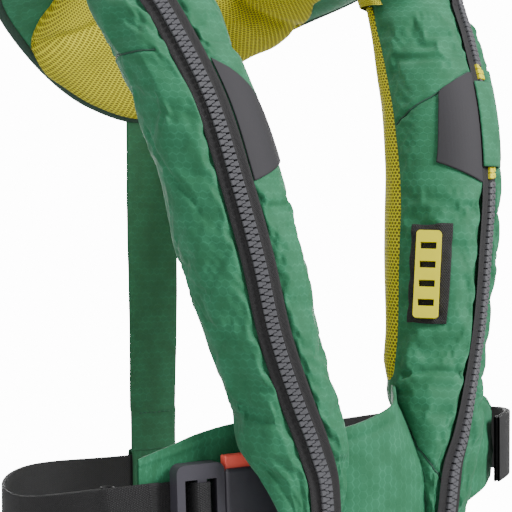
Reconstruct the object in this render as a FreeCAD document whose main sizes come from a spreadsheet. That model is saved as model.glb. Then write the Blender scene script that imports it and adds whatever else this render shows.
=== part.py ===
import FreeCAD, Part
import os
from math import cos, degrees, pi, radians, sin

from FreeCAD import Placement, Rotation, Vector

# Inflatable life jacket, in millimetres. +Z is up, the wearer faces -Y and the wearer's left is +X.
# The origin is the centre of the waist belt's loop.

doc = FreeCAD.newDocument("life_jacket")

# ---------------------------------------------------------------- driving dimensions

sheet = doc.addObject("Spreadsheet::Sheet", "dimensions")
DRIVING = {
    "belt_half_width": 152,
    "belt_half_depth": 118,
    "webbing_width": 38,
    "webbing_thick": 1.6,
    "cover_wall": 1.4,
    "lining_thick": 4.6,
    "zip_tape_width": 14,
    "zip_tape_thick": 0.8,
    "zip_chain_width": 5.6,
    "zip_chain_thick": 1.9,
    "patch_thick": 0.6,
    "strap_thick": 2,
    "buckle_height": 56,
    "buckle_thick": 9,
    "buckle_bar": 4.6,
    "male_length": 27,
    "female_length": 36,
    "release_length": 15,
    "cylinder_radius": 15.5,
    "cylinder_body": 92,
    "cylinder_neck_radius": 6.3,
    "cylinder_neck": 8,
    "inflator_radius": 12,
    "inflator_height": 34,
    "capsule_radius": 9.5,
    "capsule_height": 17.6,
    "pin_radius": 1.3,
    "pin_length": 13,
    "running_gap": 0.05,
    "oral_radius": 6,
    "oral_bore": 4.5,
    "oral_length": 62,
    "cap_radius": 8.4,
    "cap_height": 14,
    "whistle_length": 34,
    "whistle_width": 12,
    "slot_strip_length": 48,
    "slot_strip_width": 13.6,
    "slot_strip_thick": 3,
    "slot_length": 8.8,
    "slot_width": 3.7,
    "slot_pitch": 10.4,
}
for row, (alias, value) in enumerate(DRIVING.items(), 1):
    sheet.set(f"A{row}", alias)
    sheet.set(f"B{row}", str(value))
    sheet.setAlias(f"B{row}", alias)
doc.recompute()


def size(alias):
    """A driving dimension, read back from the sheet."""
    return float(sheet.get(alias))


SUBPARTS = []


def subpart(obj, label):
    """Name an object as one physical piece of the jacket."""
    obj.Label = label
    SUBPARTS.append(obj)
    return obj


def bind(obj, **expressions):
    """Tie an object's properties to cells of the sheet."""
    for prop, words in expressions.items():
        obj.setExpression(prop, words)
    return obj


def shaped(label, shape, place=None):
    """A piece whose shape is worked out from the sheet by Part's own functions."""
    obj = doc.addObject("Part::Feature", label)
    obj.Shape = shape
    if place is not None:
        obj.Placement = place
    return subpart(obj, label)


# ---------------------------------------------------------------- curves and lofts


def smooth(knots, at):
    """Catmull-Rom value, at one position, of rows of (position, value, value, ...)."""
    index = 0
    while index < len(knots) - 2 and knots[index + 1][0] < at:
        index += 1
    before = knots[max(index - 1, 0)]
    low = knots[index]
    high = knots[index + 1]
    after = knots[min(index + 2, len(knots) - 1)]
    span = high[0] - low[0]
    u = min(max((at - low[0]) / span, 0.0), 1.0)
    values = []
    for k in range(1, len(low)):
        slope_low = (high[k] - before[k]) / (high[0] - before[0]) * span
        slope_high = (after[k] - low[k]) / (after[0] - low[0]) * span
        values.append(
            (2 * u**3 - 3 * u**2 + 1) * low[k]
            + (u**3 - 2 * u**2 + u) * slope_low
            + (3 * u**2 - 2 * u**3) * high[k]
            + (u**3 - u**2) * slope_high
        )
    return values


def steps(first, last, count):
    """Evenly spaced positions, both ends included."""
    return [first + (last - first) * k / (count - 1) for k in range(count)]


def open_curve(points):
    """A smooth edge through the points."""
    curve = Part.BSplineCurve()
    curve.interpolate(points)
    return curve.toShape()


def slice_wire(place):
    """A closed slice in two arcs, front and back. place gives the point at an angle round it."""
    front = [place(pi * (k / 8 - 0.5)) for k in range(9)]
    back = [place(pi * (k / 8 + 0.5)) for k in range(9)]
    back[0] = front[-1]
    back[-1] = front[0]
    return Part.Wire([open_curve(front), open_curve(back)])


def skin_wire(outside, inside):
    """The four-sided outline of a thin layer, between an outer and an inner row of points."""
    return Part.Wire(
        [
            open_curve(outside),
            Part.makeLine(outside[-1], inside[-1]),
            open_curve(inside[::-1]),
            Part.makeLine(inside[0], outside[0]),
        ]
    )


def bar_wire(centre, across, normal, width, thick):
    """A rectangle of webbing, tape or strap, square to its run."""
    a = across * (width / 2)
    n = normal * (thick / 2)
    corners = [centre - a - n, centre + a - n, centre + a + n, centre - a + n]
    return Part.makePolygon(corners + corners[:1])


def loft(wires, ruled=False):
    """A solid through the wires, turned right side out."""
    solid = Part.makeLoft(wires, True, ruled)
    if solid.Volume < 0:
        solid.reverse()
    return solid


def mirrored(shape):
    """The same piece on the wearer's left."""
    return shape.mirror(Vector(0, 0, 0), Vector(1, 0, 0))


# ---------------------------------------------------------------- the lobes

# The wearer's right lobe in level slices: height, then the slice's centre (x, y), the way it
# faces in degrees from straight ahead towards the wearer's right, its half width, its half depth,
# and where the zip runs, in degrees round the slice from its front towards the inner edge.
LOBE = [
    (-46, -38, -112, 19, 12, 7, 20),
    (-20, -40, -113, 19, 14.5, 8.5, 20),
    (10, -44, -112.5, 20, 17, 10, 21),
    (30, -47, -110, 22, 22, 12.5, 21),
    (46, -50.5, -105.5, 29, 27.5, 16.5, 20),
    (66, -50, -98.5, 39, 27.5, 23, 19),
    (104, -60, -90.5, 45, 30, 26, 23),
    (143, -68, -83, 47.5, 33.5, 28.5, 27),
    (184, -76, -75.5, 46.5, 33.5, 29.5, 25.5),
    (224, -83, -64, 40, 33.5, 29.5, 18.5),
    (266, -90.5, -43.5, 33, 34, 27.5, 7),
    (286, -93, -32.5, 29, 34.5, 25.5, -1.5),
]
HEM = LOBE[0][0]
SHOULDER = LOBE[-1][0]
ROUNDNESS = 2.3


def squarish(value):
    """A sine or cosine pushed outwards, which makes the slice fuller than an ellipse."""
    return abs(value) ** (2 / ROUNDNESS) * (1 if value >= 0 else -1)


def lobe_frame(height):
    """Centre, inward direction, outward normal, half width, half depth and zip angle of a slice."""
    x, y, facing, half_width, half_depth, zip_angle = smooth(LOBE, height)
    turn = radians(facing)
    inward = Vector(cos(turn), -sin(turn), 0)
    normal = Vector(-sin(turn), -cos(turn), 0)
    return Vector(x, y, height), inward, normal, half_width, half_depth, radians(zip_angle)


def lobe_point(height, angle, off=0.0):
    """A point on the lobe, or off it by a distance. Angle 0 is its front, 90 degrees its inner edge."""
    centre, inward, normal, half_width, half_depth, _ = lobe_frame(height)
    return (
        centre
        + inward * ((half_width + off) * squarish(sin(angle)))
        + normal * ((half_depth + off) * squarish(cos(angle)))
    )


def lobe_normal(height, angle):
    """The outward direction of the lobe's surface in its slice."""
    little = radians(2)
    along = lobe_point(height, angle + little) - lobe_point(height, angle - little)
    along.normalize()
    return along.cross(Vector(0, 0, 1)).normalize()


def lobe_slice(height, off):
    """A closed slice of the lobe, off its surface by a distance."""
    return slice_wire(lambda angle: lobe_point(height, angle, off))


def lobe_solid(low, high, off, count):
    """The lobe between two heights."""
    return loft([lobe_slice(height, off) for height in steps(low, high, count)])


WALL = size("cover_wall")
lobe_outer = lobe_solid(HEM, SHOULDER, 0, 19)
lobe_inner = lobe_solid(HEM + WALL, SHOULDER, -WALL, 19)
lobe_shell = lobe_outer.cut(lobe_inner)

# ---------------------------------------------------------------- the collar

# From the shoulder to the middle of the back: the armhole or lower edge, the neck edge, half the
# thickness there, and how much of it is lost towards the armhole edge.
COLLAR = [
    ((-127, -7, 304), (-61, -31, 315), 23, 0.0),
    ((-131, 20, 315), (-60, 2, 337), 20, 0.05),
    ((-131, 53, 307), (-60, 30, 345), 17.5, 0.12),
    ((-126, 83, 289), (-56, 50, 343), 15.5, 0.25),
    ((-88, 105, 256), (-42, 72, 337), 14, 0.34),
    ((-46, 115, 232), (-22, 84, 334), 13, 0.34),
    ((0, 117, 225), (0, 88, 333), 13, 0.34),
]

# The collar's lower edge sits higher on the wearer's left, from beside the middle to the seam.
LEFT_RISE = (22, 26, 14, 5, 0, 0, 0)


def collar_knots():
    """The collar's stations all the way round, seam to seam, each with its outward normal."""
    seam_edge = lobe_point(SHOULDER, -pi / 2)
    seam_neck = lobe_point(SHOULDER, pi / 2)
    rows = [(seam_edge, seam_neck, lobe_frame(SHOULDER)[4], 0.0)]
    rows += [(Vector(*edge), Vector(*neck), half, thin) for edge, neck, half, thin in COLLAR]
    for (edge, neck, half, thin), rise in zip(rows[-2::-1], LEFT_RISE):
        left_edge = Vector(-edge.x, edge.y, edge.z + rise)
        rows.append((left_edge, Vector(-neck.x, neck.y, neck.z), half, thin))
    knots = []
    for k, (edge, neck, half, thin) in enumerate(rows):
        before = rows[max(k - 1, 0)]
        after = rows[min(k + 1, len(rows) - 1)]
        run = (after[0] + after[1]) - (before[0] + before[1])
        if k == 0:
            run = Vector(0, 0, 1)
        if k == len(rows) - 1:
            run = Vector(0, 0, -1)
        normal = (neck - edge).cross(run)
        normal.normalize()
        knots.append((k, *edge, *neck, *normal, half, thin))
    return knots


COLLAR_KNOTS = collar_knots()
COLLAR_END = len(COLLAR_KNOTS) - 1


def collar_point(run, angle, off=0.0):
    """A point on the collar, or off it. run counts stations; angle 90 degrees is the neck edge."""
    values = smooth(COLLAR_KNOTS, run)
    edge = Vector(*values[0:3])
    neck = Vector(*values[3:6])
    normal = Vector(*values[6:9])
    half, thin = values[9:11]
    normal.normalize()
    across = neck - edge
    half_width = across.Length / 2 + off
    across.normalize()
    side = squarish(sin(angle))
    depth = half * (1 - thin * max(0.0, -side) ** 2) + off
    return (edge + neck) * 0.5 + across * (half_width * side) + normal * (depth * squarish(cos(angle)))


def collar_solid(off, low=0.0, high=COLLAR_END):
    """The collar between two of its stations."""
    count = int((high - low) * 3) + 1
    return loft([slice_wire(lambda a, r=run: collar_point(r, a, off)) for run in steps(low, high, count)])


collar_shell = collar_solid(0).cut(collar_solid(-WALL))

shaped("right_lobe_cover", lobe_shell)
shaped("left_lobe_cover", mirrored(lobe_shell))
shaped("collar_cover", collar_shell)

# ---------------------------------------------------------------- linings and binding

LINING = size("lining_thick")
SKIN_GAP = 0.3


def skin_row(place, first, last, off, rise=0.0):
    """Points across a surface between two angles, risen by a smooth hump between them."""
    return [
        place(angle, off + rise * sin(pi * k / 8) ** 0.6)
        for k, angle in enumerate(steps(first, last, 9))
    ]


def lobe_skin(heights, first, last, off, thick, hump=0.0):
    """A layer lying on the lobe between two angles, which may change with height."""
    wires = []
    for height in heights:
        place = lambda angle, away, z=height: lobe_point(z, angle, away)
        low = radians(first(height))
        high = radians(last(height))
        outside = skin_row(place, low, high, off + thick, hump)
        wires.append(skin_wire(outside, skin_row(place, low, high, off)))
    return loft(wires)


def collar_skin(low, high, first, last, off, thick, hump=0.0):
    """A layer lying on the collar between two of its stations and two angles."""
    wires = []
    for run in steps(low, high, int((high - low) * 3) + 1):
        place = lambda angle, away, r=run: collar_point(r, angle, away)
        ends = (radians(first(run)), radians(last(run)))
        wires.append(skin_wire(skin_row(place, *ends, off + thick, hump), skin_row(place, *ends, off)))
    return loft(wires)


def fixed(value):
    """An angle that stays the same at every height."""
    return lambda height: value


LINING_LOW = 68
LINING_EDGES = (132, 250)
COLLAR_LINING_GAP = 0.9
lining = lobe_skin(
    steps(LINING_LOW, SHOULDER, 13),
    fixed(LINING_EDGES[0]),
    fixed(LINING_EDGES[1]),
    SKIN_GAP,
    1,
    LINING - 1,
)
shaped("right_lobe_lining", lining)
shaped("left_lobe_lining", mirrored(lining))


# How far round the collar its lining reaches: stations from the nearer seam, then degrees.
LINING_REACH = [(0, 250), (2, 215), (3.5, 197), (4.3, 200), (4.5, 222), (4.8, 250), (7, 252)]


def lining_reach(run):
    """The lining's far edge at a station of the collar."""
    return smooth(LINING_REACH, min(run, COLLAR_END - run))[0]


collar_lining = collar_skin(0, COLLAR_END, fixed(106), lining_reach, COLLAR_LINING_GAP, 1, 3)
shaped("collar_lining", collar_lining)
BINDING_START = 2.5
binding_end = COLLAR_END - BINDING_START
binding = collar_skin(BINDING_START, binding_end, fixed(256), fixed(284), SKIN_GAP, 1.6)
shaped("yoke_binding", binding)

# ---------------------------------------------------------------- zip

TAPE_WIDE = size("zip_tape_width")
TAPE_THICK = size("zip_tape_thick")
CHAIN_WIDE = size("zip_chain_width")
CHAIN_THICK = size("zip_chain_thick")
TAPE_OFF = 0.5
CHAIN_GAP = 0.2
CHAIN_OFF = TAPE_OFF + TAPE_THICK + CHAIN_GAP
CHAIN_TOP = CHAIN_OFF + CHAIN_THICK
CHAIN_LOW = HEM + 6


def zip_angle(height):
    """Where the zip runs round the lobe."""
    return lobe_frame(height)[5]


def lobe_bar(height, off, width, thick):
    """A bar's outline over the zip line, off the lobe by a distance."""
    angle = zip_angle(height)
    normal = lobe_normal(height, angle)
    across = normal.cross(Vector(0, 0, 1)) * -1
    centre = lobe_point(height, angle) + normal * (off + thick / 2)
    return bar_wire(centre, across, normal, width, thick)


def collar_bar(run, off, width, thick):
    """The same bar where the zip goes over the collar."""
    angle = zip_angle(SHOULDER)
    near = collar_point(run, angle + 0.05) - collar_point(run, angle - 0.05)
    step = 0.02
    ahead = collar_point(min(run + step, COLLAR_END), angle) - collar_point(max(run - step, 0), angle)
    near.normalize()
    normal = near.cross(ahead)
    normal.normalize()
    centre = collar_point(run, angle) + normal * (off + thick / 2)
    return bar_wire(centre, near, normal, width, thick)


def zip_run(low, high, off, width, thick):
    """A strip of the zip on the wearer's right lobe."""
    count = max(3, int((high - low) / 14))
    return loft([lobe_bar(height, off, width, thick) for height in steps(low, high, count)])


def zip_over_collar(off, width, thick):
    """A strip of the zip over the collar, from seam to seam."""
    runs = steps(0.0, COLLAR_END, COLLAR_END * 3 + 1)
    return loft([collar_bar(run, off, width, thick) for run in runs])


TAPE_TOP = SHOULDER - 0.6
tape = zip_run(HEM + 2, TAPE_TOP, TAPE_OFF, TAPE_WIDE, TAPE_THICK)
shaped("right_zip_tape", tape)
shaped("left_zip_tape", mirrored(tape))
shaped("collar_zip_tape", zip_over_collar(TAPE_OFF, TAPE_WIDE, TAPE_THICK))
shaped("right_zip_chain", zip_run(CHAIN_LOW, TAPE_TOP, CHAIN_OFF, CHAIN_WIDE, CHAIN_THICK))
shaped("collar_zip_chain", zip_over_collar(CHAIN_OFF, CHAIN_WIDE, CHAIN_THICK))

# The burst point: a short run of weaker teeth at each end of the flap, where the cover springs open.
FLAP_LOW = 192
FLAP_HIGH = 240
WEAK_LENGTH = 8
left_chain = zip_run(CHAIN_LOW, FLAP_LOW - WEAK_LENGTH, CHAIN_OFF, CHAIN_WIDE, CHAIN_THICK)
under_flap = zip_run(FLAP_LOW, FLAP_HIGH, CHAIN_OFF, CHAIN_WIDE, CHAIN_THICK)
above_flap = zip_run(FLAP_HIGH + WEAK_LENGTH, TAPE_TOP, CHAIN_OFF, CHAIN_WIDE, CHAIN_THICK)
weak_low = zip_run(FLAP_LOW - WEAK_LENGTH + 0.1, FLAP_LOW - 0.1, CHAIN_OFF, CHAIN_WIDE, CHAIN_THICK)
weak_high = zip_run(FLAP_HIGH + 0.1, FLAP_HIGH + WEAK_LENGTH - 0.1, CHAIN_OFF, CHAIN_WIDE, CHAIN_THICK)
shaped("left_zip_chain", mirrored(Part.makeCompound([left_chain, under_flap, above_flap])))
shaped("burst_point_teeth", mirrored(Part.makeCompound([weak_low, weak_high])))

# The flap over the burst point, sewn along the edge nearer the neck.
FLAP_RISE = 3.2
FLAP_THICK = 1.2
FLAP_OFF = 1.6


def lobe_hump(height, first, last, off, rise):
    """Points across the lobe between two angles, off it by a rising and falling distance."""
    place = lambda angle, away: lobe_point(height, angle, away)
    return skin_row(place, first, last, off, rise)


# It turns about the piping in its sewn edge.
PIPING_RADIUS = 0.9
PIPING_OFF = 3.1


def piping_end(height):
    """An end of the piping's straight line."""
    return lobe_point(height, zip_angle(height) + radians(16), PIPING_OFF)


piping_low = piping_end(FLAP_LOW)
piping_line = piping_end(FLAP_HIGH) - piping_low
piping = Part.makeCylinder(PIPING_RADIUS, piping_line.Length, piping_low, piping_line)
flap_wires = []
for height in steps(FLAP_LOW, FLAP_HIGH, 5):
    outer_edge = zip_angle(height) - radians(34)
    sewn_edge = zip_angle(height) + radians(15)
    below = lobe_hump(height, outer_edge, sewn_edge, FLAP_OFF, FLAP_RISE)
    above = lobe_hump(height, outer_edge, sewn_edge, FLAP_OFF + FLAP_THICK, FLAP_RISE)
    flap_wires.append(skin_wire(above, below))
shaped("burst_flap", mirrored(loft(flap_wires).fuse(piping)))

# ---------------------------------------------------------------- reflective patches

PATCH = size("patch_thick")
PATCH_GAP = 0.7

# The patch's inner edge: height, then degrees round the lobe.
PATCH_EDGE = [(185, 46), (190, 68), (196, 86), (215, 80), (230, 70), (239, 52), (245, 33)]
PATCH_LOW = PATCH_EDGE[0][0]
PATCH_HIGH = PATCH_EDGE[-1][0]

patch = lobe_skin(
    steps(PATCH_LOW, PATCH_HIGH, 13),
    lambda z: degrees(zip_angle(z)) + 20,
    lambda z: smooth(PATCH_EDGE, z)[0],
    PATCH_GAP,
    PATCH,
)
shaped("right_reflector", patch)
shaped("left_reflector", mirrored(patch))

# ---------------------------------------------------------------- panel, wings, straps and belt

GREEN_THICK = 4


def ribbon(stations, thick):
    """A standing strip through stations of (x, y, lowest, highest)."""
    last = len(stations) - 1
    knots = [(k, *station) for k, station in enumerate(stations)]
    wires = []
    for at in steps(0.0, last, last * 3 + 1):
        x, y, low, high = smooth(knots, at)
        back = smooth(knots, max(at - 0.1, 0.0))
        ahead = smooth(knots, min(at + 0.1, last))
        run = Vector(ahead[0] - back[0], ahead[1] - back[1], 0)
        run.normalize()
        normal = Vector(run.y, -run.x, 0)
        centre = Vector(x, y, (low + high) / 2)
        wires.append(bar_wire(centre, Vector(0, 0, 1), normal, high - low, thick))
    return loft(wires)


PANEL = [
    (-25, -119, -44, 56),
    (-12, -121.5, -45, 54),
    (0, -122.5, -46, 54),
    (12, -121.5, -45, 57),
    (25, -119, -44, 60),
]
PANEL_THICK = 5
shaped("centre_panel", ribbon(PANEL, PANEL_THICK))

RIGHT_WING = [
    (-40, -79, -34, 44),
    (-62, -77.5, -34, 50),
    (-84, -74, -32, 56),
    (-103, -70.5, -22, 49),
    (-118, -65.5, -8, 41),
]
shaped("right_wing", ribbon(RIGHT_WING, GREEN_THICK))

LEFT_WING = [
    (44, -76, -34, 44),
    (60, -77, -22, 49),
    (76, -79, -10, 57),
    (92, -80.5, 0, 62),
    (106, -78, 6, 60),
    (119, -69, 10, 53),
]
shaped("left_wing", ribbon(LEFT_WING, GREEN_THICK))

STRAP = size("strap_thick")
strap_wires = []
for height, width in ((220.8, 38), (150, 36), (80, 34), (16.3, 32)):
    strap_wires.append(bar_wire(Vector(0, 117, height), Vector(1, 0, 0), Vector(0, 1, 0), width, STRAP))
shaped("back_strap", loft(strap_wires))

WEBBING = size("webbing_width")
WEB_THICK = size("webbing_thick")

# The belt line's height round the waist, in degrees from the wearer's left, towards the back.
BELT_HEIGHT = [
    (-90, 18),
    (-44, 29),
    (0, 24),
    (45, 8),
    (90, -7),
    (135, -2),
    (180, -3),
    (225, 12),
    (270, 18),
]


def belt_place(angle, off):
    """The belt line's point, outward normal and height direction."""
    turn = radians(angle)
    half_width = size("belt_half_width")
    half_depth = size("belt_half_depth")
    normal = Vector(cos(turn) / half_width, sin(turn) / half_depth, 0)
    normal.normalize()
    height = smooth(BELT_HEIGHT, angle)[0]
    return Vector(half_width * cos(turn), half_depth * sin(turn), height) + normal * off, normal


def belt_run(first, last, off, width, thick, count):
    """Webbing round part of the waist."""
    wires = []
    for angle in steps(first, last, count):
        centre, normal = belt_place(angle, off)
        wires.append(bar_wire(centre, Vector(0, 0, 1), normal, width, thick))
    return loft(wires)


BELT_LEFT_END = -44
BELT_HIP = 189
shaped("belt_back", belt_run(BELT_LEFT_END, BELT_HIP, 0, WEBBING, WEB_THICK, 25))
shaped("belt_left_tab", belt_run(BELT_LEFT_END, -18, 2.1, WEBBING, WEB_THICK, 5))
shaped("belt_tail", belt_run(192, 210, -2.6, WEBBING, 3, 4))

loop_outer = doc.addObject("Part::Box", "loop_outer")
bind(loop_outer, Length="dimensions.webbing_width - 6", Height="dimensions.webbing_width + 8")
loop_outer.Width = 8
loop_outer.Placement.Base = Vector(-16, 114, -30)
loop_hole = doc.addObject("Part::Box", "loop_hole")
bind(loop_hole, Length="dimensions.webbing_width", Height="dimensions.webbing_width + 4")
loop_hole.Width = 4.8
loop_hole.Placement.Base = Vector(-19, 115.6, -28)
strap_loop = doc.addObject("Part::Cut", "strap_loop_cut")
strap_loop.Base = loop_outer
strap_loop.Tool = loop_hole
subpart(strap_loop, "strap_loop")


# ---------------------------------------------------------------- building blocks for hard parts


def box(name, low, high, place=None):
    """A box between two corners, given in the local frame of place."""
    obj = doc.addObject("Part::Box", name)
    obj.Length = high[0] - low[0]
    obj.Width = high[1] - low[1]
    obj.Height = high[2] - low[2]
    local = Placement(Vector(*low), Rotation())
    obj.Placement = place.multiply(local) if place else local
    return obj


def rod(name, centre, axis, length, radius_cell, place=None):
    """A cylinder from a local point along a local axis, its radius tied to the sheet."""
    obj = doc.addObject("Part::Cylinder", name)
    obj.setExpression("Radius", radius_cell)
    obj.Height = length
    local = Placement(Vector(*centre), Rotation(Vector(0, 0, 1), Vector(*axis)))
    obj.Placement = place.multiply(local) if place else local
    return obj


def cut(name, base, *tools):
    """A base with each tool taken away."""
    result = base
    for k, tool in enumerate(tools):
        taken = doc.addObject("Part::Cut", f"{name}_cut_{k}")
        taken.Base = result
        taken.Tool = tool
        result = taken
    return result


def fuse(name, *shapes):
    """Several shapes joined as one."""
    result = doc.addObject("Part::MultiFuse", f"{name}_fuse")
    result.Shapes = list(shapes)
    return result


def facing(origin, right, up):
    """A placement whose local X runs right, local Y up, and local Z towards the viewer."""
    right = Vector(right)
    right.normalize()
    out = right.cross(up)
    out.normalize()
    return Placement(origin, Rotation(right, out.cross(right), out, "XZY"))


def sketch_rectangles(body, name, rectangles, level):
    """A sketch on the body's own XY plane, lifted to a level, holding closed rectangles."""
    sketch = body.newObject("Sketcher::SketchObject", name)
    plane = [f for f in body.Origin.OriginFeatures if f.Role == "XY_Plane"][0]
    sketch.AttachmentSupport = [(plane, "")]
    sketch.MapMode = "FlatFace"
    sketch.AttachmentOffset = Placement(Vector(0, 0, level), Rotation())
    for low_x, low_y, high_x, high_y in rectangles:
        corners = [
            Vector(low_x, low_y, 0),
            Vector(high_x, low_y, 0),
            Vector(high_x, high_y, 0),
            Vector(low_x, high_y, 0),
        ]
        for k in range(4):
            sketch.addGeometry(Part.LineSegment(corners[k], corners[(k + 1) % 4]), False)
    return sketch


def add_pad(body, sketch, name, length):
    """Grow a sketch into the body by a length given as an expression."""
    pad = body.newObject("PartDesign::Pad", name)
    pad.Profile = sketch
    pad.setExpression("Length", length)
    return pad


def add_pocket(body, sketch, name):
    """Cut a sketch right through the body, both ways."""
    pocket = body.newObject("PartDesign::Pocket", name)
    pocket.Profile = sketch
    pocket.Type = "ThroughAll"
    pocket.Midplane = True
    return pocket


def round_edges(body, base, name, radius, chosen):
    """Fillet the edges of a feature that a test picks out."""
    doc.recompute()
    edges = [f"Edge{k}" for k, edge in enumerate(base.Shape.Edges, 1) if chosen(edge)]
    fillet = body.newObject("PartDesign::Fillet", name)
    fillet.Base = (base, edges)
    fillet.Radius = radius
    return fillet


def upright(edge):
    """Whether an edge runs along the local Z."""
    line = edge.Vertexes[-1].Point - edge.Vertexes[0].Point
    return line.Length > 0.5 and abs(line.z) > 0.99 * line.Length


# ---------------------------------------------------------------- buckle

# Local X runs from the male half to the female half, Y up, Z away from the wearer; the halves
# meet at the origin.
BUCKLE = facing(Vector(-78.3, -83.6, 11), Vector(0.991, -0.13, 0.03), Vector(0, 0, 1))
MALE = size("male_length")
HALF_HIGH = size("buckle_height") / 2
HALF_THICK = size("buckle_thick") / 2
BAR = size("buckle_bar")
WINDOW = HALF_HIGH - BAR - 3.4

male = doc.addObject("PartDesign::Body", "male_body")
male_outline = sketch_rectangles(male, "male_outline", [(-MALE, -HALF_HIGH, 0, HALF_HIGH)], -HALF_THICK)
male_pad = add_pad(male, male_outline, "male_pad", "dimensions.buckle_thick")
male_round = round_edges(male, male_pad, "male_round", 4.5, upright)
male_windows = sketch_rectangles(
    male,
    "male_windows",
    [(-MALE + BAR, -WINDOW, -15.4, WINDOW), (-10.2, -WINDOW, -BAR, WINDOW)],
    0,
)
male_pocket = add_pocket(male, male_windows, "male_pocket")
prongs = sketch_rectangles(
    male,
    "prongs",
    [(-2, -13.6, 27, -10), (-2, 10, 27, 13.6), (-2, -2.5, 24, 2.5)],
    -2.3,
)
prong_pad = add_pad(male, prongs, "prong_pad", "4.6 mm")
male.Tip = prong_pad
male.Placement = BUCKLE
subpart(male, "buckle_male")

# The webbing goes behind the frame's end bar and over its middle bar: local X, local Z.
WEB_PATH = [
    (-33, -5.9),
    (-24, -5.9),
    (-20.2, -5.4),
    (-18.4, -3),
    (-17.2, 0),
    (-16.6, 3.2),
    (-16.1, 5.2),
    (-14.6, 6.1),
    (-12.8, 6.3),
    (-11, 6.1),
    (-9.4, 5.2),
    (-8.9, 3.6),
    (-8.6, 0),
    (-7.9, -4.4),
]

# The short webbing that anchors the female half goes round its end bar and forward to the lobe's back.
ANCHOR_PATH = [(32, -4.6), (32, 0), (32.1, 4.2), (33.2, 6.6), (36, 7.4), (39, 8.2), (41.5, 9.4)]


def webbing_along(path):
    """Upright webbing along a path of local X and Z."""
    wires = []
    last = len(path) - 1
    for k, (x, z) in enumerate(path):
        back = path[max(k - 1, 0)]
        ahead = path[min(k + 1, last)]
        run = Vector(ahead[0] - back[0], 0, ahead[1] - back[1])
        run.normalize()
        normal = Vector(-run.z, 0, run.x)
        wires.append(bar_wire(Vector(x, 0, z), Vector(0, 1, 0), normal, WEBBING - 0.6, WEB_THICK))
    return loft(wires, True)


shaped("buckle_webbing", webbing_along(WEB_PATH), BUCKLE)

# The belt's front run leaves the waist's curve to meet that loop behind the frame.
FRONT_START = 183
FRONT_TURN = 211
front_wires = []
for angle in steps(FRONT_START, FRONT_TURN, 6):
    centre, normal = belt_place(angle, 2.1)
    front_wires.append(bar_wire(centre, Vector(0, 0, 1), normal, WEBBING, WEB_THICK))
meeting = BUCKLE.multVec(Vector(WEB_PATH[0][0] - 0.1, 0, WEB_PATH[0][1]))
buckle_up = BUCKLE.Rotation.multVec(Vector(0, 1, 0))
buckle_out = BUCKLE.Rotation.multVec(Vector(0, 0, 1))
front_wires.append(bar_wire(meeting, buckle_up, buckle_out, WEBBING, WEB_THICK))
shaped("belt_front", loft(front_wires))

shaped("buckle_anchor", webbing_along(ANCHOR_PATH), BUCKLE)

FEMALE = size("female_length")
MOUTH_GAP = 0.4
RELEASE = size("release_length")
housing = box("housing", (MOUTH_GAP, -24, -5.6), (FEMALE, 24, 5.6), BUCKLE)
housing_round = doc.addObject("Part::Fillet", "housing_round")
housing_round.Base = housing
doc.recompute()
housing_round.Edges = [(k + 1, 2.0, 2.0) for k in range(len(housing.Shape.Edges))]
mouth = box("mouth", (-1, -17.2, -2.7), (28.5, 17.2, 2.7), BUCKLE)
side_windows = box("side_windows", (-1, -30, -3.4), (RELEASE + 1.6, 30, 3.4), BUCKLE)
web_slot = box("web_slot", (30.4, -20, -10), (33.6, 20, 10), BUCKLE)
subpart(cut("buckle_female", housing_round, mouth, side_windows, web_slot), "buckle_female")
for name, side in (("release_button_upper", 1), ("release_button_lower", -1)):
    ends = sorted((side * 17.5, side * 30.5))
    button = box(f"{name}_block", (1.2, ends[0], -3.1), (RELEASE + 1, ends[1], 3.1), BUCKLE)
    button_round = doc.addObject("Part::Fillet", f"{name}_round")
    button_round.Base = button
    doc.recompute()
    button_round.Edges = [(k + 1, 0.9, 0.9) for k in range(len(button.Shape.Edges))]
    subpart(button_round, name)

# ---------------------------------------------------------------- zip sliders

SLIDER_HEIGHT = -30
SLIDER_GAP = 0.6


def slider_frame(side):
    """The zip's own frame near the hem: local X across, Y along it upwards, Z outwards.

    side is 1 for the wearer's right and -1 for the left.
    """
    angle = zip_angle(SLIDER_HEIGHT)
    normal = lobe_normal(SLIDER_HEIGHT, angle)
    ahead = lobe_point(SLIDER_HEIGHT + 8, zip_angle(SLIDER_HEIGHT + 8))
    along = ahead - lobe_point(SLIDER_HEIGHT - 8, zip_angle(SLIDER_HEIGHT - 8))
    along.normalize()
    origin = lobe_point(SLIDER_HEIGHT, angle) + normal * (CHAIN_TOP + SLIDER_GAP)
    origin = Vector(origin.x * side, origin.y, origin.z)
    normal = Vector(normal.x * side, normal.y, normal.z)
    along = Vector(along.x * side, along.y, along.z)
    across = along.cross(normal)
    return Placement(origin, Rotation(across, along, normal, "YZX"))


for side_name, side in (("right", 1), ("left", -1)):
    frame = slider_frame(side)
    plate = box(f"{side_name}_plate", (-4.2, -6, 0), (4.2, 6, 2), frame)
    ear_a = box(f"{side_name}_ear_a", (-2.7, -3.5, 1.5), (-1.5, 1.5, 5), frame)
    ear_b = box(f"{side_name}_ear_b", (1.5, -3.5, 1.5), (2.7, 1.5, 5), frame)
    bridge = rod(f"{side_name}_bridge", (-2.7, -1, 3.9), (1, 0, 0), 5.4, "0.6 mm", frame)
    subpart(fuse(f"{side_name}_slider", plate, ear_a, ear_b, bridge), f"{side_name}_zip_slider")
    tab = box(f"{side_name}_tab", (-1.4, -21, 3.2), (1.4, -1, 4.6), frame)
    boss = rod(f"{side_name}_boss", (-1.4, -1, 3.9), (1, 0, 0), 2.8, "1.4 mm", frame)
    eye = rod(f"{side_name}_eye", (-2, -1, 3.9), (1, 0, 0), 4, "0.65 mm", frame)
    subpart(
        cut(f"{side_name}_pull", fuse(f"{side_name}_pull", tab, boss), eye),
        f"{side_name}_pull_tab",
    )

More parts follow.
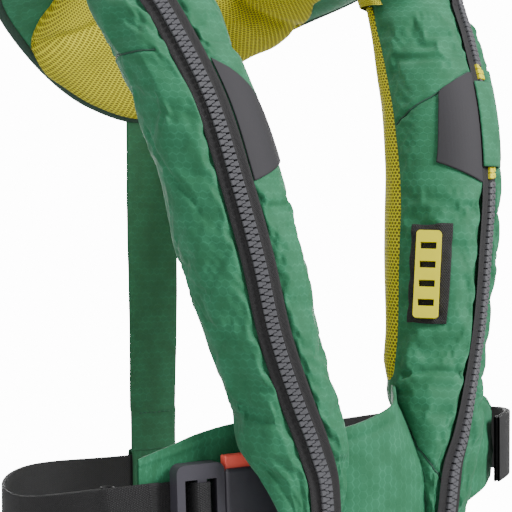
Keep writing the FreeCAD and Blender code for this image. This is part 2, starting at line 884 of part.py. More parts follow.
# ---------------------------------------------------------------- accessory strip

STRIP_HEIGHT = 133
STRIP_ANGLE = radians(96)
STRIP_OFF = 2


def strip_place():
    """Where the slotted strip sits on the wearer's left lobe: local Y up it, Z outwards."""
    normal = lobe_normal(STRIP_HEIGHT, STRIP_ANGLE)
    point = lobe_point(STRIP_HEIGHT, STRIP_ANGLE) + normal * STRIP_OFF
    up = lobe_point(STRIP_HEIGHT + 20, STRIP_ANGLE) - lobe_point(STRIP_HEIGHT - 20, STRIP_ANGLE)
    up = Vector(-up.x, up.y, up.z)
    out = Vector(-normal.x, normal.y, normal.z)
    return facing(Vector(-point.x, point.y, point.z), up.cross(out), up)


strip = doc.addObject("PartDesign::Body", "strip_body")
strip_long = size("slot_strip_length") / 2
strip_wide = size("slot_strip_width") / 2
strip_outline = sketch_rectangles(
    strip, "strip_outline", [(-strip_wide, -strip_long, strip_wide, strip_long)], 0
)
strip_pad = add_pad(strip, strip_outline, "strip_pad", "dimensions.slot_strip_thick")
strip_round = round_edges(strip, strip_pad, "strip_round", 2, upright)
slot_half = size("slot_length") / 2
slot_high = size("slot_width") / 2
slot_rows = [size("slot_pitch") * (k - 1.5) for k in range(4)]
strip_slots = sketch_rectangles(
    strip,
    "strip_slots",
    [(-slot_half, mid - slot_high, slot_half, mid + slot_high) for mid in slot_rows],
    0,
)
strip_pocket = add_pocket(strip, strip_slots, "strip_pocket")
strip.Tip = strip_pocket
strip.Placement = strip_place()
subpart(strip, "accessory_strip")
BACKING_EDGES = (77, 116)
backing = lobe_skin(steps(107, 160, 6), fixed(BACKING_EDGES[0]), fixed(BACKING_EDGES[1]), SKIN_GAP, 0.9)
shaped("strip_backing", mirrored(backing))

# ---------------------------------------------------------------- inflator, in the left lobe

# Local Z runs up the gas cylinder, X towards the neck side of the lobe, Y across it.
INFLATOR_BASE = Vector(50, -104, 50)
INFLATOR_AXIS = Vector(23, 27, 126)


def inflator_place():
    """The inflator's own frame."""
    up = Vector(INFLATOR_AXIS)
    up.normalize()
    toward = Vector(-0.906, -0.423, 0)
    toward = toward - up * toward.dot(up)
    toward.normalize()
    return Placement(INFLATOR_BASE, Rotation(toward, up.cross(toward), up, "ZXY"))


INFLATOR = inflator_place()
BODY_LOW = 8
BODY_HIGH = BODY_LOW + size("inflator_height")
SOCKET = 5
BORE_LOW = 16
NECK_HIGH = BODY_HIGH + size("cylinder_neck")
shell = rod("inflator_shell", (0, 0, BODY_LOW), (0, 0, 1), BODY_HIGH - BODY_LOW, "dimensions.inflator_radius", INFLATOR)
web = box("lever_web", (-14.6, -4.6, -10), (-9.8, 4.6, BODY_LOW + 12), INFLATOR)
ear_front = box("lever_ear_front", (-14.6, -4.6, -18), (-9.4, -3, -9), INFLATOR)
ear_back = box("lever_ear_back", (-14.6, 3, -18), (-9.4, 4.6, -9), INFLATOR)
lever_pin = rod("lever_pin", (-12, -4.6, -15), (0, 1, 0), 9.2, "1 mm", INFLATOR)
socket = rod(
    "cylinder_socket",
    (0, 0, BODY_HIGH - SOCKET),
    (0, 0, 1),
    SOCKET + 1,
    "dimensions.cylinder_neck_radius + dimensions.running_gap",
    INFLATOR,
)
bore = rod(
    "pin_bore",
    (0, 0, BORE_LOW),
    (0, 0, 1),
    BODY_HIGH - BORE_LOW,
    "dimensions.pin_radius + dimensions.running_gap",
    INFLATOR,
)
body_block = fuse("inflator_body", shell, web, ear_front, ear_back, lever_pin)
subpart(cut("inflator_body", body_block, socket, bore), "inflator_body")
capsule_height = size("capsule_height")
capsule = rod("capsule", (0, 0, -10), (0, 0, 1), capsule_height, "dimensions.capsule_radius", INFLATOR)
subpart(capsule, "firing_capsule")
indicator = rod("indicator", (0, 11, 30), (0, 1, 0), 3, "2.6 mm", INFLATOR)
indicator_clear = rod(
    "indicator_clear", (0, 0, BODY_LOW), (0, 0, 1), 40, "dimensions.inflator_radius", INFLATOR
)
subpart(cut("status_indicator", indicator, indicator_clear), "status_indicator")

neck = rod(
    "cylinder_neck",
    (0, 0, BODY_HIGH - SOCKET),
    (0, 0, 1),
    SOCKET + size("cylinder_neck"),
    "dimensions.cylinder_neck_radius",
    INFLATOR,
)
barrel = rod(
    "cylinder_barrel",
    (0, 0, NECK_HIGH),
    (0, 0, 1),
    size("cylinder_body"),
    "dimensions.cylinder_radius",
    INFLATOR,
)
barrel_round = doc.addObject("Part::Fillet", "cylinder_round")
barrel_round.Base = barrel
doc.recompute()
barrel_rims = [k for k, edge in enumerate(barrel.Shape.Edges, 1) if edge.Closed]
barrel_round.Edges = [(k, 9.0, 9.0) for k in barrel_rims]
subpart(fuse("gas_cylinder", neck, barrel_round), "gas_cylinder")

PIN_START = BORE_LOW + 1
pin = rod(
    "pin", (0, 0, PIN_START), (0, 0, 1), size("pin_length"), "dimensions.pin_radius", INFLATOR
)
subpart(pin, "piercing_pin")

lever_arm = box("lever_arm", (-12, -2.4, -16.8), (6.5, 2.4, -13.2), INFLATOR)
lever_boss = rod("lever_boss", (-12, -2.4, -15), (0, 1, 0), 4.8, "2.4 mm", INFLATOR)
lever_eye = rod("lever_eye", (-12, -3, -15), (0, 1, 0), 6, "1.05 mm", INFLATOR)
subpart(cut("manual_lever", fuse("manual_lever", lever_arm, lever_boss), lever_eye), "manual_lever")

# ---------------------------------------------------------------- bladder


def bladder_wire(height, shift, wide, deep):
    """A slice of folded bladder inside the lobe, shifted along its normal."""
    centre, inward, normal, half_width, half_depth, _ = lobe_frame(height)

    def place(angle):
        return (
            centre
            + inward * (half_width * wide * sin(angle))
            + normal * (shift(half_depth) + deep(half_depth) * cos(angle))
        )

    return slice_wire(place)


def folded(half_depth):
    """The free lobe's bladder lies folded double behind the oral tube."""
    return 0.42 * half_depth


def behind_centre(half_depth):
    """Its middle is a little nearer the wearer than the lobe's."""
    return -0.26 * half_depth


right_bladder = loft(
    [bladder_wire(z, behind_centre, 0.78, folded) for z in steps(40, SHOULDER - 1, 14)]
)
shaped("right_bladder", right_bladder)
left_bladder = loft(
    [
        bladder_wire(z, lambda deep: 4.6 - deep, 0.42, lambda deep: 2.2)
        for z in steps(88, SHOULDER - 1, 12)
    ]
)
shaped("left_bladder", mirrored(left_bladder))
shaped("collar_bladder", collar_solid(-4.5, 0.5, COLLAR_END - 0.5))

# ---------------------------------------------------------------- oral tube and whistle


def front_place(low, high, off):
    """A frame in front of the right lobe's middle, its local Z running up the lobe."""
    points = []
    for height in (low, high):
        centre, _, normal, _, _, _ = lobe_frame(height)
        points.append(centre + normal * off)
    up = points[1] - points[0]
    up.normalize()
    inward = lobe_frame((low + high) / 2)[1]
    toward = inward - up * inward.dot(up)
    toward.normalize()
    return Placement(points[0], Rotation(toward, up.cross(toward), up, "ZXY"))


ORAL = front_place(140, 200, 14.4)
ORAL_LENGTH = size("oral_length")
tube = rod("tube", (0, 0, 0), (0, 0, 1), ORAL_LENGTH, "dimensions.oral_radius", ORAL)
tube_bore = rod("tube_bore", (0, 0, 3), (0, 0, 1), ORAL_LENGTH, "dimensions.oral_bore", ORAL)
subpart(cut("oral_tube", tube, tube_bore), "oral_tube")
STEM_LENGTH = 12
stem = rod(
    "stem",
    (0, 0, ORAL_LENGTH - STEM_LENGTH - 0.5),
    (0, 0, 1),
    STEM_LENGTH,
    "dimensions.oral_bore - dimensions.running_gap",
    ORAL,
)
subpart(stem, "oral_valve")
CAP_OVERLAP = 9
cap_outer = rod(
    "cap_outer",
    (0, 0, ORAL_LENGTH - CAP_OVERLAP),
    (0, 0, 1),
    size("cap_height"),
    "dimensions.cap_radius",
    ORAL,
)
cap_hollow = rod(
    "cap_hollow",
    (0, 0, ORAL_LENGTH - CAP_OVERLAP - 1),
    (0, 0, 1),
    CAP_OVERLAP + 1.5,
    "dimensions.oral_radius + dimensions.running_gap",
    ORAL,
)
subpart(cut("oral_cap", cap_outer, cap_hollow), "oral_cap")

WHISTLE = front_place(82, 116, 12)
whistle = doc.addObject("PartDesign::Body", "whistle_body")
whistle_wide = size("whistle_width") / 2
whistle_outline = sketch_rectangles(
    whistle, "whistle_outline", [(-whistle_wide, -3.5, whistle_wide, 3.5)], 0
)
whistle_pad = add_pad(whistle, whistle_outline, "whistle_pad", "dimensions.whistle_length")
whistle_round = round_edges(whistle, whistle_pad, "whistle_round", 2, upright)
whistle_air = sketch_rectangles(whistle, "whistle_air", [(-4, -1.6, 4, 1.6)], 2)
whistle_bore = whistle.newObject("PartDesign::Pocket", "whistle_bore")
whistle_bore.Profile = whistle_air
whistle_bore.Length = 40
whistle_bore.Reversed = True
whistle.Tip = whistle_bore
whistle.Placement = WHISTLE
subpart(whistle, "whistle")

# ---------------------------------------------------------------- check and export

doc.recompute()
for obj in doc.Objects:
    if "Invalid" in obj.State or "Error" in obj.State:
        raise RuntimeError(f"{obj.Label} did not build: {obj.State}")
os.makedirs("parts", exist_ok=True)
for obj in SUBPARTS:
    if obj.Shape.isNull() or not obj.Shape.isValid() or obj.Shape.Volume <= 0:
        raise RuntimeError(f"{obj.Label} has no sound solid")
    obj.Shape.exportStep(f"parts/{obj.Label}.step")
print(len(SUBPARTS), "sub-parts")
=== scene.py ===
from math import cos, pi, radians, sin

import bpy
import numpy as np
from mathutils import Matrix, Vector


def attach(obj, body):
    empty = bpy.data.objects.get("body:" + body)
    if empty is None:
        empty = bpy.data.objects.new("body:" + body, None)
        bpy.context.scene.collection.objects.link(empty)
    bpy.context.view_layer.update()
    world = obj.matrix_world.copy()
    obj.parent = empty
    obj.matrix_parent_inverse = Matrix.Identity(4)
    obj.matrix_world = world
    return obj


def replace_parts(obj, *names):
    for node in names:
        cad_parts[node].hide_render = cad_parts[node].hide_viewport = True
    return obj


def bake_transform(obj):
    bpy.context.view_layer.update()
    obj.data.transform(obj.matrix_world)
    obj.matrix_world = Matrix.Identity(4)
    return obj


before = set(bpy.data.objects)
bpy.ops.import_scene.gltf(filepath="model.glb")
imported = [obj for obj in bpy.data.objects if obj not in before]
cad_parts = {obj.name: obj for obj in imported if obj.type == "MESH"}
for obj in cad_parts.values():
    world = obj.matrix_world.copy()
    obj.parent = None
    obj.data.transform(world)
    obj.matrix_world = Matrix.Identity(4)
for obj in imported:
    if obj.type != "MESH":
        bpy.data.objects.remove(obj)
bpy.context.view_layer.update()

# Inflatable life jacket. Shapes are worked out in millimetres, with +Z up and the wearer facing -Y,
# and turned into metres when a mesh is made.
MM = 0.001

# ---------------------------------------------------------------- curves


def smooth(knots, at):
    """Catmull-Rom values, at each position, of rows of (position, value, value, ...)."""
    knots = np.asarray(knots, float)
    at = np.asarray(at, float)
    places = knots[:, 0]
    values = knots[:, 1:]
    low = np.clip(np.searchsorted(places, at) - 1, 0, len(knots) - 2)
    high = low + 1
    before = np.maximum(low - 1, 0)
    after = np.minimum(low + 2, len(knots) - 1)
    span = (places[high] - places[low])[..., None]
    u = np.clip((at - places[low])[..., None] / span, 0, 1)
    slope_low = (values[high] - values[before]) / (places[high] - places[before])[..., None] * span
    slope_high = (values[after] - values[low]) / (places[after] - places[low])[..., None] * span
    return (
        (2 * u**3 - 3 * u**2 + 1) * values[low]
        + (u**3 - 2 * u**2 + u) * slope_low
        + (3 * u**2 - 2 * u**3) * values[high]
        + (u**3 - u**2) * slope_high
    )


def unit(vectors):
    """Each vector at length 1."""
    vectors = np.asarray(vectors, float)
    return vectors / np.maximum(np.linalg.norm(vectors, axis=-1, keepdims=True), 1e-9)


def stack(x, y, z):
    """Points from their coordinates."""
    return np.stack(np.broadcast_arrays(x, y, z), -1).astype(float)


def ease(t):
    """0 to 1, level at both ends."""
    t = np.clip(t, 0, 1)
    return t * t * (3 - 2 * t)


def rumple(a, b, size, seed):
    """Soft irregular unevenness from -1 to 1, over two lengths."""
    a = a / size
    b = b / size
    k = seed * 1.7
    return (
        np.sin(1.3 * a + 1.9 * np.sin(0.7 * b + k) + k)
        * np.cos(1.1 * b + 1.6 * np.sin(0.6 * a + 2 * k))
        + 0.5 * np.sin(2.3 * a - 1.7 * b + 1.4 * np.sin(b + 3 * k))
    ) / 1.5


# ---------------------------------------------------------------- the lobes

# The wearer's right lobe in level slices: height, then the slice's centre (x, y), the way it
# faces in degrees from straight ahead towards the wearer's right, its half width, its half depth,
# and where the zip runs, in degrees round the slice from its front towards the inner edge.
LOBE = np.array(
    [
        (-46, -38, -112, 19, 12, 7, 20),
        (-20, -40, -113, 19, 14.5, 8.5, 20),
        (10, -44, -112.5, 20, 17, 10, 21),
        (30, -47, -110, 22, 22, 12.5, 21),
        (46, -50.5, -105.5, 29, 27.5, 16.5, 20),
        (66, -50, -98.5, 39, 27.5, 23, 19),
        (104, -60, -90.5, 45, 30, 26, 23),
        (143, -68, -83, 47.5, 33.5, 28.5, 27),
        (184, -76, -75.5, 46.5, 33.5, 29.5, 25.5),
        (224, -83, -64, 40, 33.5, 29.5, 18.5),
        (266, -90.5, -43.5, 33, 34, 27.5, 7),
        (286, -93, -32.5, 29, 34.5, 25.5, -1.5),
    ]
)
HEM = -46
SHOULDER = 286
ROUNDNESS = 2.3


def squarish(value):
    """A sine or cosine pushed outwards, which makes the slice fuller than an ellipse."""
    return np.sign(value) * np.abs(value) ** (2 / ROUNDNESS)


def lobe_point(height, angle, off=0.0):
    """Points on the wearer's right lobe, or off it. Angle 0 is its front, 90 degrees its inner edge."""
    height = np.asarray(height, float)
    x, y, facing, wide, deep, _ = np.moveaxis(smooth(LOBE, height), -1, 0)
    turn = np.radians(facing)
    inward = stack(np.cos(turn), -np.sin(turn), 0 * turn)
    normal = stack(-np.sin(turn), -np.cos(turn), 0 * turn)
    angle = np.radians(angle)
    side = ((wide + off) * squarish(np.sin(angle)))[..., None]
    front = ((deep + off) * squarish(np.cos(angle)))[..., None]
    return stack(x, y, height) + inward * side + normal * front


def zip_angle(height):
    """Where the zip runs round the lobe, in degrees."""
    return smooth(LOBE, height)[..., 5]


# From the shoulder to the middle of the back: the armhole or lower edge, the neck edge, half the
# thickness there, and how much of it is lost towards the armhole edge.
COLLAR = [
    ((-127, -7, 304), (-61, -31, 315), 23, 0.0),
    ((-131, 20, 315), (-60, 2, 337), 20, 0.05),
    ((-131, 53, 307), (-60, 30, 345), 17.5, 0.12),
    ((-126, 83, 289), (-56, 50, 343), 15.5, 0.25),
    ((-88, 105, 256), (-42, 72, 337), 14, 0.34),
    ((-46, 115, 232), (-22, 84, 334), 13, 0.34),
    ((0, 117, 225), (0, 88, 333), 13, 0.34),
]
# The collar's lower edge sits higher on the wearer's left, from beside the middle to the seam.
LEFT_RISE = (22, 26, 14, 5, 0, 0, 0)


def collar_knots():
    """The collar's stations all the way round, seam to seam, each with its outward normal."""
    seam_edge = lobe_point(SHOULDER, -90.0)
    seam_neck = lobe_point(SHOULDER, 90.0)
    rows = [(seam_edge, seam_neck, LOBE[-1, 5], 0.0)]
    rows += [(np.array(e, float), np.array(n, float), half, thin) for e, n, half, thin in COLLAR]
    flip = np.array([-1, 1, 1])
    for (edge, neck, half, thin), rise in zip(rows[-2::-1], LEFT_RISE):
        rows.append((edge * flip + [0, 0, rise], neck * flip, half, thin))
    last = len(rows) - 1
    knots = []
    for k, (edge, neck, half, thin) in enumerate(rows):
        before = rows[max(k - 1, 0)]
        after = rows[min(k + 1, last)]
        run = (after[0] + after[1]) - (before[0] + before[1])
        if k == 0:
            run = np.array([0, 0, 1.0])
        if k == last:
            run = np.array([0, 0, -1.0])
        normal = unit(np.cross(neck - edge, run))
        knots.append([k, *edge, *neck, *normal, half, thin])
    return np.array(knots)


COLLAR_KNOTS = collar_knots()
COLLAR_END = len(COLLAR_KNOTS) - 1


def collar_point(run, angle, off=0.0):
    """Points on the collar, or off it. run counts stations; angle 90 degrees is the neck edge."""
    values = smooth(COLLAR_KNOTS, run)
    edge = values[..., 0:3]
    neck = values[..., 3:6]
    normal = unit(values[..., 6:9])
    half = values[..., 9]
    thin = values[..., 10]
    across = unit(neck - edge)
    half_width = np.linalg.norm(neck - edge, axis=-1) / 2 + off
    angle = np.radians(angle)
    side = squarish(np.sin(angle))
    depth = half * (1 - thin * np.maximum(0, -side) ** 2) + off
    return (
        (edge + neck) / 2
        + across * (half_width * side)[..., None]
        + normal * (depth * squarish(np.cos(angle)))[..., None]
    )


# ---------------------------------------------------------------- meshes


def new_object(name, points, faces, finish, body, texture=None):
    """A named mesh from points in millimetres, riding on a body.

    texture holds each corner's place on the cloth.
    """
    mesh = bpy.data.meshes.new(name)
    mesh.from_pydata((np.asarray(points) * MM).tolist(), [], faces)
    if texture is not None:
        layer = mesh.uv_layers.new(name="cloth")
        layer.data.foreach_set("uv", np.asarray(texture, np.float32).ravel())
    mesh.materials.append(finish)
    mesh.shade_smooth()
    obj = bpy.data.objects.new(name, mesh)
    bpy.context.scene.collection.objects.link(obj)
    if body:
        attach(obj, body)
    return obj


def grid_faces(rows, columns, closed):
    """Quads over a grid of points, whose columns may close into a ring."""
    faces = []
    last = columns if closed else columns - 1
    for i in range(rows - 1):
        for j in range(last):
            k = (j + 1) % columns
            faces.append((i * columns + j, i * columns + k, (i + 1) * columns + k, (i + 1) * columns + j))
    return faces


def grid_texture(points, closed, start=0):
    """Corner places on the cloth, in millimetres from a start column and up from the first row."""
    rows, columns = points.shape[:2]
    ring = np.concatenate([points, points[:, :1]], 1) if closed else points
    across = np.linalg.norm(np.diff(ring, axis=1), axis=-1)
    around = np.concatenate([np.zeros((rows, 1)), np.cumsum(across, 1)], 1)
    around -= around[:, start : start + 1]
    rise = np.linalg.norm(np.diff(ring[:, start], axis=0), axis=-1)
    along = np.concatenate([[0], np.cumsum(rise)])
    corners = []
    for i in range(rows - 1):
        for j in range(ring.shape[1] - 1):
            for a, b in ((i, j), (i, j + 1), (i + 1, j + 1), (i + 1, j)):
                corners.append((around[a, b], along[a]))
    return corners


def grid_object(name, points, finish, body, closed=False, start=0):
    """A surface through a grid of points."""
    rows, columns = points.shape[:2]
    faces = grid_faces(rows, columns, closed)
    texture = grid_texture(points, closed, start)
    return new_object(name, points.reshape(-1, 3), faces, finish, body, texture)


def thicken(obj, thick, offset=1.0):
    """Give a surface a thickness in millimetres."""
    solid = obj.modifiers.new("thickness", "SOLIDIFY")
    solid.thickness = thick * MM
    solid.offset = offset
    return obj


def soften(obj, radius, segments=3):
    """Round a hard part's edges, by a radius in millimetres."""
    bevel = obj.modifiers.new("rounding", "BEVEL")
    bevel.width = radius * MM
    bevel.segments = segments
    bevel.limit_method = "ANGLE"
    bevel.angle_limit = radians(30)
    bevel.harden_normals = True
    return obj


def band(name, centres, across, normals, width, thick, finish, body):
    """Webbing with rounded edges, swept along its centre line."""
    half = thick / 2
    flat = np.linspace(-(width / 2 - half), width / 2 - half, 15)
    turn = np.linspace(pi / 2, -pi / 2, 5)[1:-1]
    outline = [(a, half) for a in flat]
    outline += [(width / 2 - half + half * cos(t), half * sin(t)) for t in turn]
    outline += [(a, -half) for a in flat[::-1]]
    outline += [(-(width / 2 - half) - half * cos(t), -half * sin(t)) for t in turn]
    outline = np.array(outline)
    points = (
        centres[:, None]
        + across[:, None] * outline[None, :, :1]
        + normals[:, None] * outline[None, :, 1:]
    )
    return grid_object(name, points, finish, body, closed=True)


def frames_along(centres, up):
    """Normals and cross directions of a run of webbing that stands on edge."""
    run = unit(np.gradient(centres, axis=0))
    normals = unit(np.cross(up, run))
    across = unit(np.cross(run, normals))
    return across, normals


def stitches(name, path, normal, finish, body, pitch=3.4, length=2.3, wide=0.55):
    """A row of thread stitches along a path, lying on the cloth."""
    path = np.asarray(path, float)
    steps = np.linalg.norm(np.diff(path, axis=0), axis=-1)
    arc = np.concatenate([[0], np.cumsum(steps)])
    knots = np.column_stack([arc, path])
    starts = np.arange(pitch / 2, arc[-1] - length / 2, pitch)
    points = []
    faces = []
    for middle in starts:
        ends = smooth(knots, np.array([middle - length / 2, middle, middle + length / 2]))
        run = unit(ends[2] - ends[0])
        out = unit(np.asarray(normal, float))
        side = np.cross(run, out)
        base = len(points)
        for k, (rise, grow) in enumerate(((0.05, 0.6), (0.42, 1), (0.05, 0.6))):
            for turn in range(6):
                t = turn * pi / 3
                centre = ends[k] + out * rise
                points.append(centre + (side * cos(t) + out * sin(t) * 0.6) * wide / 2 * grow)
        for ring in range(2):
            for turn in range(6):
                a = base + ring * 6 + turn
                b = base + ring * 6 + (turn + 1) % 6
                faces.append((a, b, b + 6, a + 6))
        faces.append(tuple(base + turn for turn in range(5, -1, -1)))
        faces.append(tuple(base + 12 + turn for turn in range(6)))
    return new_object(name, points, faces, finish, body)


# ---------------------------------------------------------------- finishes


def linear(red, green, blue):
    """A display colour as scene-linear values."""
    values = np.array([red, green, blue]) / 255
    curved = np.where(values <= 0.04045, values / 12.92, ((values + 0.055) / 1.055) ** 2.4)
    return (*curved.tolist(), 1.0)


class Finish:
    """A material being built from nodes."""

    def __init__(self, name, roughness, metallic=0.0, sheen=0.0):
        self.material = bpy.data.materials.new(name)
        self.material.use_nodes = True
        self.tree = self.material.node_tree
        self.shader = self.tree.nodes["Principled BSDF"]
        self.shader.inputs["Roughness"].default_value = roughness
        self.shader.inputs["Metallic"].default_value = metallic
        self.shader.inputs["Sheen Weight"].default_value = sheen

    def node(self, kind, inputs=None, **settings):
        """A node with its settings and inputs; an input is a value or another node's output."""
        made = self.tree.nodes.new(kind)
        for key, value in settings.items():
            setattr(made, key, value)
        for key, value in (inputs or {}).items():
            if isinstance(value, bpy.types.NodeSocket):
                self.tree.links.new(value, made.inputs[key])
            else:
                made.inputs[key].default_value = value
        return made

    def math(self, operation, *values):
        """A sum on numbers."""
        made = self.node("ShaderNodeMath", dict(enumerate(values)), operation=operation)
        return made.outputs[0]

    def vector(self, operation, *values):
        """A sum on vectors."""
        made = self.node("ShaderNodeVectorMath", dict(enumerate(values)), operation=operation)
        return made

    def ramp(self, value, low, high, first=0.0, last=1.0):
        """A value eased from one range into another."""
        made = self.node(
            "ShaderNodeMapRange",
            {"Value": value, 1: low, 2: high, 3: first, 4: last},
            interpolation_type="SMOOTHSTEP",
        )
        return made.outputs[0]

    def noise(self, place, scale, detail=2.0):
        """Irregular values from 0 to 1."""
        made = self.node("ShaderNodeTexNoise", {"Vector": place, "Scale": scale, "Detail": detail})
        return made.outputs["Fac"]

    def place(self):
        """Position on the object, in metres."""
        return self.node("ShaderNodeTexCoord").outputs["Object"]

    def cloth(self):
        """Position on the cloth, in millimetres."""
        return self.node("ShaderNodeUVMap", uv_map="cloth").outputs[0]

    def cells(self, place, wide, tall):
        """Six-sided cells of a size: 0 in the middle of a cell and 0.5 at its edge."""
        scaled = self.vector("MULTIPLY", place, (1 / wide, 1 / tall, 0)).outputs[0]
        half = (0.5, 0.8660254, 0.5)
        low = (-0.5, -0.8660254, -0.5)
        first = self.vector("WRAP", scaled, half, low).outputs[0]
        moved = self.vector("SUBTRACT", scaled, half).outputs[0]
        second = self.vector("WRAP", moved, half, low).outputs[0]
        first_reach = self.vector("DOT_PRODUCT", first, first).outputs["Value"]
        second_reach = self.vector("DOT_PRODUCT", second, second).outputs["Value"]
        nearer = self.math("LESS_THAN", second_reach, first_reach)
        chosen = self.node(
            "ShaderNodeMix", {"Factor": nearer, 4: first, 5: second}, data_type="VECTOR"
        )
        folded = self.vector("ABSOLUTE", chosen.outputs[1]).outputs[0]
        slant = self.vector("DOT_PRODUCT", folded, (0.5, 0.8660254, 0)).outputs["Value"]
        flat = self.vector("DOT_PRODUCT", folded, (1, 0, 0)).outputs["Value"]
        return self.math("MAXIMUM", slant, flat)

    def blend(self, amount, first, second):
        """Between two colours."""
        made = self.node(
            "ShaderNodeMix", {"Factor": amount, 6: first, 7: second}, data_type="RGBA"
        )
        return made.outputs[2]

    def colour(self, value):
        """Set or link the base colour."""
        if isinstance(value, bpy.types.NodeSocket):
            self.tree.links.new(value, self.shader.inputs["Base Color"])
        else:
            self.shader.inputs["Base Color"].default_value = value
        return self

    def bump(self, height, distance, strength=1.0):
        """Raise the surface by a height, in millimetres."""
        made = self.node(
            "ShaderNodeBump", {"Height": height, "Distance": distance * MM, "Strength": strength}
        )
        self.tree.links.new(made.outputs[0], self.shader.inputs["Normal"])
        return self.material


def honeycomb_cloth(name, base, line, cell=4.4):
    """Coated cloth embossed with six-sided cells, with a fine weave."""
    finish = Finish(name, 0.8, sheen=0.04)
    cloth = finish.cloth()
    reach = finish.cells(cloth, cell, cell)
    edge = finish.ramp(reach, 0.455, 0.495)
    weave = finish.cells(cloth, 0.75, 0.75)
    patchy = finish.noise(cloth, 0.09)
    shown = finish.math("MULTIPLY", edge, finish.ramp(patchy, 0.3, 0.75, 0.08, 0.55))
    tone = finish.blend(finish.ramp(patchy, 0.3, 0.7, 0.0, 0.3), base, line)
    finish.colour(finish.blend(shown, tone, line))
    height = finish.math("MULTIPLY_ADD", weave, 0.35, edge)
    return finish.bump(height, 0.13, 0.5)


def hole_mesh(name, base, hole_shade, wide, tall):
    """Spacer mesh with open cells, painted a darker yellow inside each cell as painted shade."""
    finish = Finish(name, 0.85)
    cloth = finish.cloth()
    reach = finish.cells(cloth, wide, tall)
    thread = finish.ramp(reach, 0.24, 0.4)
    fine = finish.noise(cloth, 2.2)
    tone = finish.blend(fine, base, tuple(0.8 * part for part in base[:3]) + (1.0,))
    # Painted shade: the centre of each open cell takes the darker second colour.
    finish.colour(finish.blend(thread, hole_shade, tone))
    return finish.bump(thread, 0.7, 0.9)


def woven_web(name, base, wide, tall, depth=0.35):
    """Webbing or tape with rows of ribs, with painted shade darkening the grooves between them."""
    finish = Finish(name, 0.75)
    cloth = finish.cloth()
    reach = finish.cells(cloth, wide, tall)
    rib = finish.ramp(reach, 0.5, 0.1)
    # Painted shade: the grooves between the ribs are darkened to 0.45 of the base colour.
    dark = tuple(0.45 * part for part in base[:3]) + (1.0,)
    finish.colour(finish.blend(rib, dark, base))
    return finish.bump(rib, depth, 0.9)


def moulded(name, base, roughness, grain=0.05, metallic=0.0):
    """A moulded or machined surface with a fine grain."""
    finish = Finish(name, roughness, metallic)
    place = finish.place()
    mottled = finish.noise(place, 90.0)
    dark = tuple(0.86 * part for part in base[:3]) + (1.0,)
    finish.colour(finish.blend(mottled, dark, base))
    return finish.bump(finish.noise(place, 2600.0), grain, 0.6)


GREEN = honeycomb_cloth("green_cloth", linear(4, 84, 50), linear(36, 118, 84))
DEEP_GREEN = honeycomb_cloth("deep_green_cloth", linear(0, 66, 34), linear(18, 92, 60))
# The second colour of each mesh is painted shade inside its open cells.
MESH = hole_mesh("yellow_mesh", linear(206, 200, 0), linear(92, 84, 0), 2.6, 2.1)
FINE_MESH = hole_mesh("fine_yellow_mesh", linear(192, 186, 0), linear(104, 96, 0), 1.5, 1.9)
BINDING = woven_web("binding", linear(4, 56, 38), 0.9, 0.9, 0.15)
WEB = woven_web("black_webbing", linear(10, 9, 13), 1.25, 0.95)
TAPE = woven_web("zip_tape", linear(15, 13, 16), 0.8, 0.8, 0.18)
TEETH = moulded("zip_teeth", linear(72, 72, 76), 0.4)
WEAK_TEETH = moulded("burst_teeth", linear(210, 200, 10), 0.45)
REFLECTIVE = moulded("reflective_cloth", linear(28, 26, 31), 0.8, 0.08)
BUCKLE_BLACK = moulded("buckle_plastic", linear(48, 46, 54), 0.46, 0.06)
RED = moulded("release_red", linear(240, 92, 78), 0.42)
YELLOW = moulded("strip_yellow", linear(208, 198, 0), 0.6, 0.04)
METAL = moulded("zip_metal", linear(120, 120, 122), 0.35, 0.02, 0.9)
THREAD = moulded("dark_thread", linear(16, 60, 44), 0.7)

# ---------------------------------------------------------------- cloth settling


SETTLE_FRAMES = 16
PRESSURE = 2.5
SLACK = 0.02
MOST = 4.0


def settle(points, held):
    """Let rings of cloth billow from where they are held, and return where they come to rest."""
    rows, columns = points.shape[:2]
    mesh = bpy.data.meshes.new("billow")
    mesh.from_pydata((points.reshape(-1, 3) * MM).tolist(), [], grid_faces(rows, columns, True))
    obj = bpy.data.objects.new("billow", mesh)
    scene = bpy.context.scene
    scene.collection.objects.link(obj)
    group = obj.vertex_groups.new(name="held")
    for k, weight in enumerate(held.reshape(-1).tolist()):
        group.add([k], weight, "REPLACE")
    cloth = obj.modifiers.new("cloth", "CLOTH")
    cloth.settings.quality = 5
    cloth.settings.mass = 0.2
    cloth.settings.tension_stiffness = 18
    cloth.settings.compression_stiffness = 14
    cloth.settings.shear_stiffness = 8
    cloth.settings.bending_stiffness = 0.25
    cloth.settings.vertex_group_mass = "held"
    cloth.settings.shrink_min = -SLACK
    cloth.settings.use_pressure = True
    cloth.settings.uniform_pressure_force = PRESSURE
    cloth.settings.effector_weights.gravity = 0
    cloth.collision_settings.use_collision = False
    cloth.point_cache.frame_start = 1
    cloth.point_cache.frame_end = SETTLE_FRAMES
    for step in range(1, SETTLE_FRAMES + 1):
        scene.frame_set(step)
    settled = obj.evaluated_get(bpy.context.evaluated_depsgraph_get()).data
    found = np.empty(rows * columns * 3)
    settled.vertices.foreach_get("co", found)
    scene.frame_set(1)
    bpy.data.objects.remove(obj)
    bpy.data.meshes.remove(mesh)
    moved = found.reshape(rows, columns, 3) / MM - points
    far = np.linalg.norm(moved, axis=-1, keepdims=True)
    return points + moved * np.minimum(1, MOST / np.maximum(far, 1e-9))


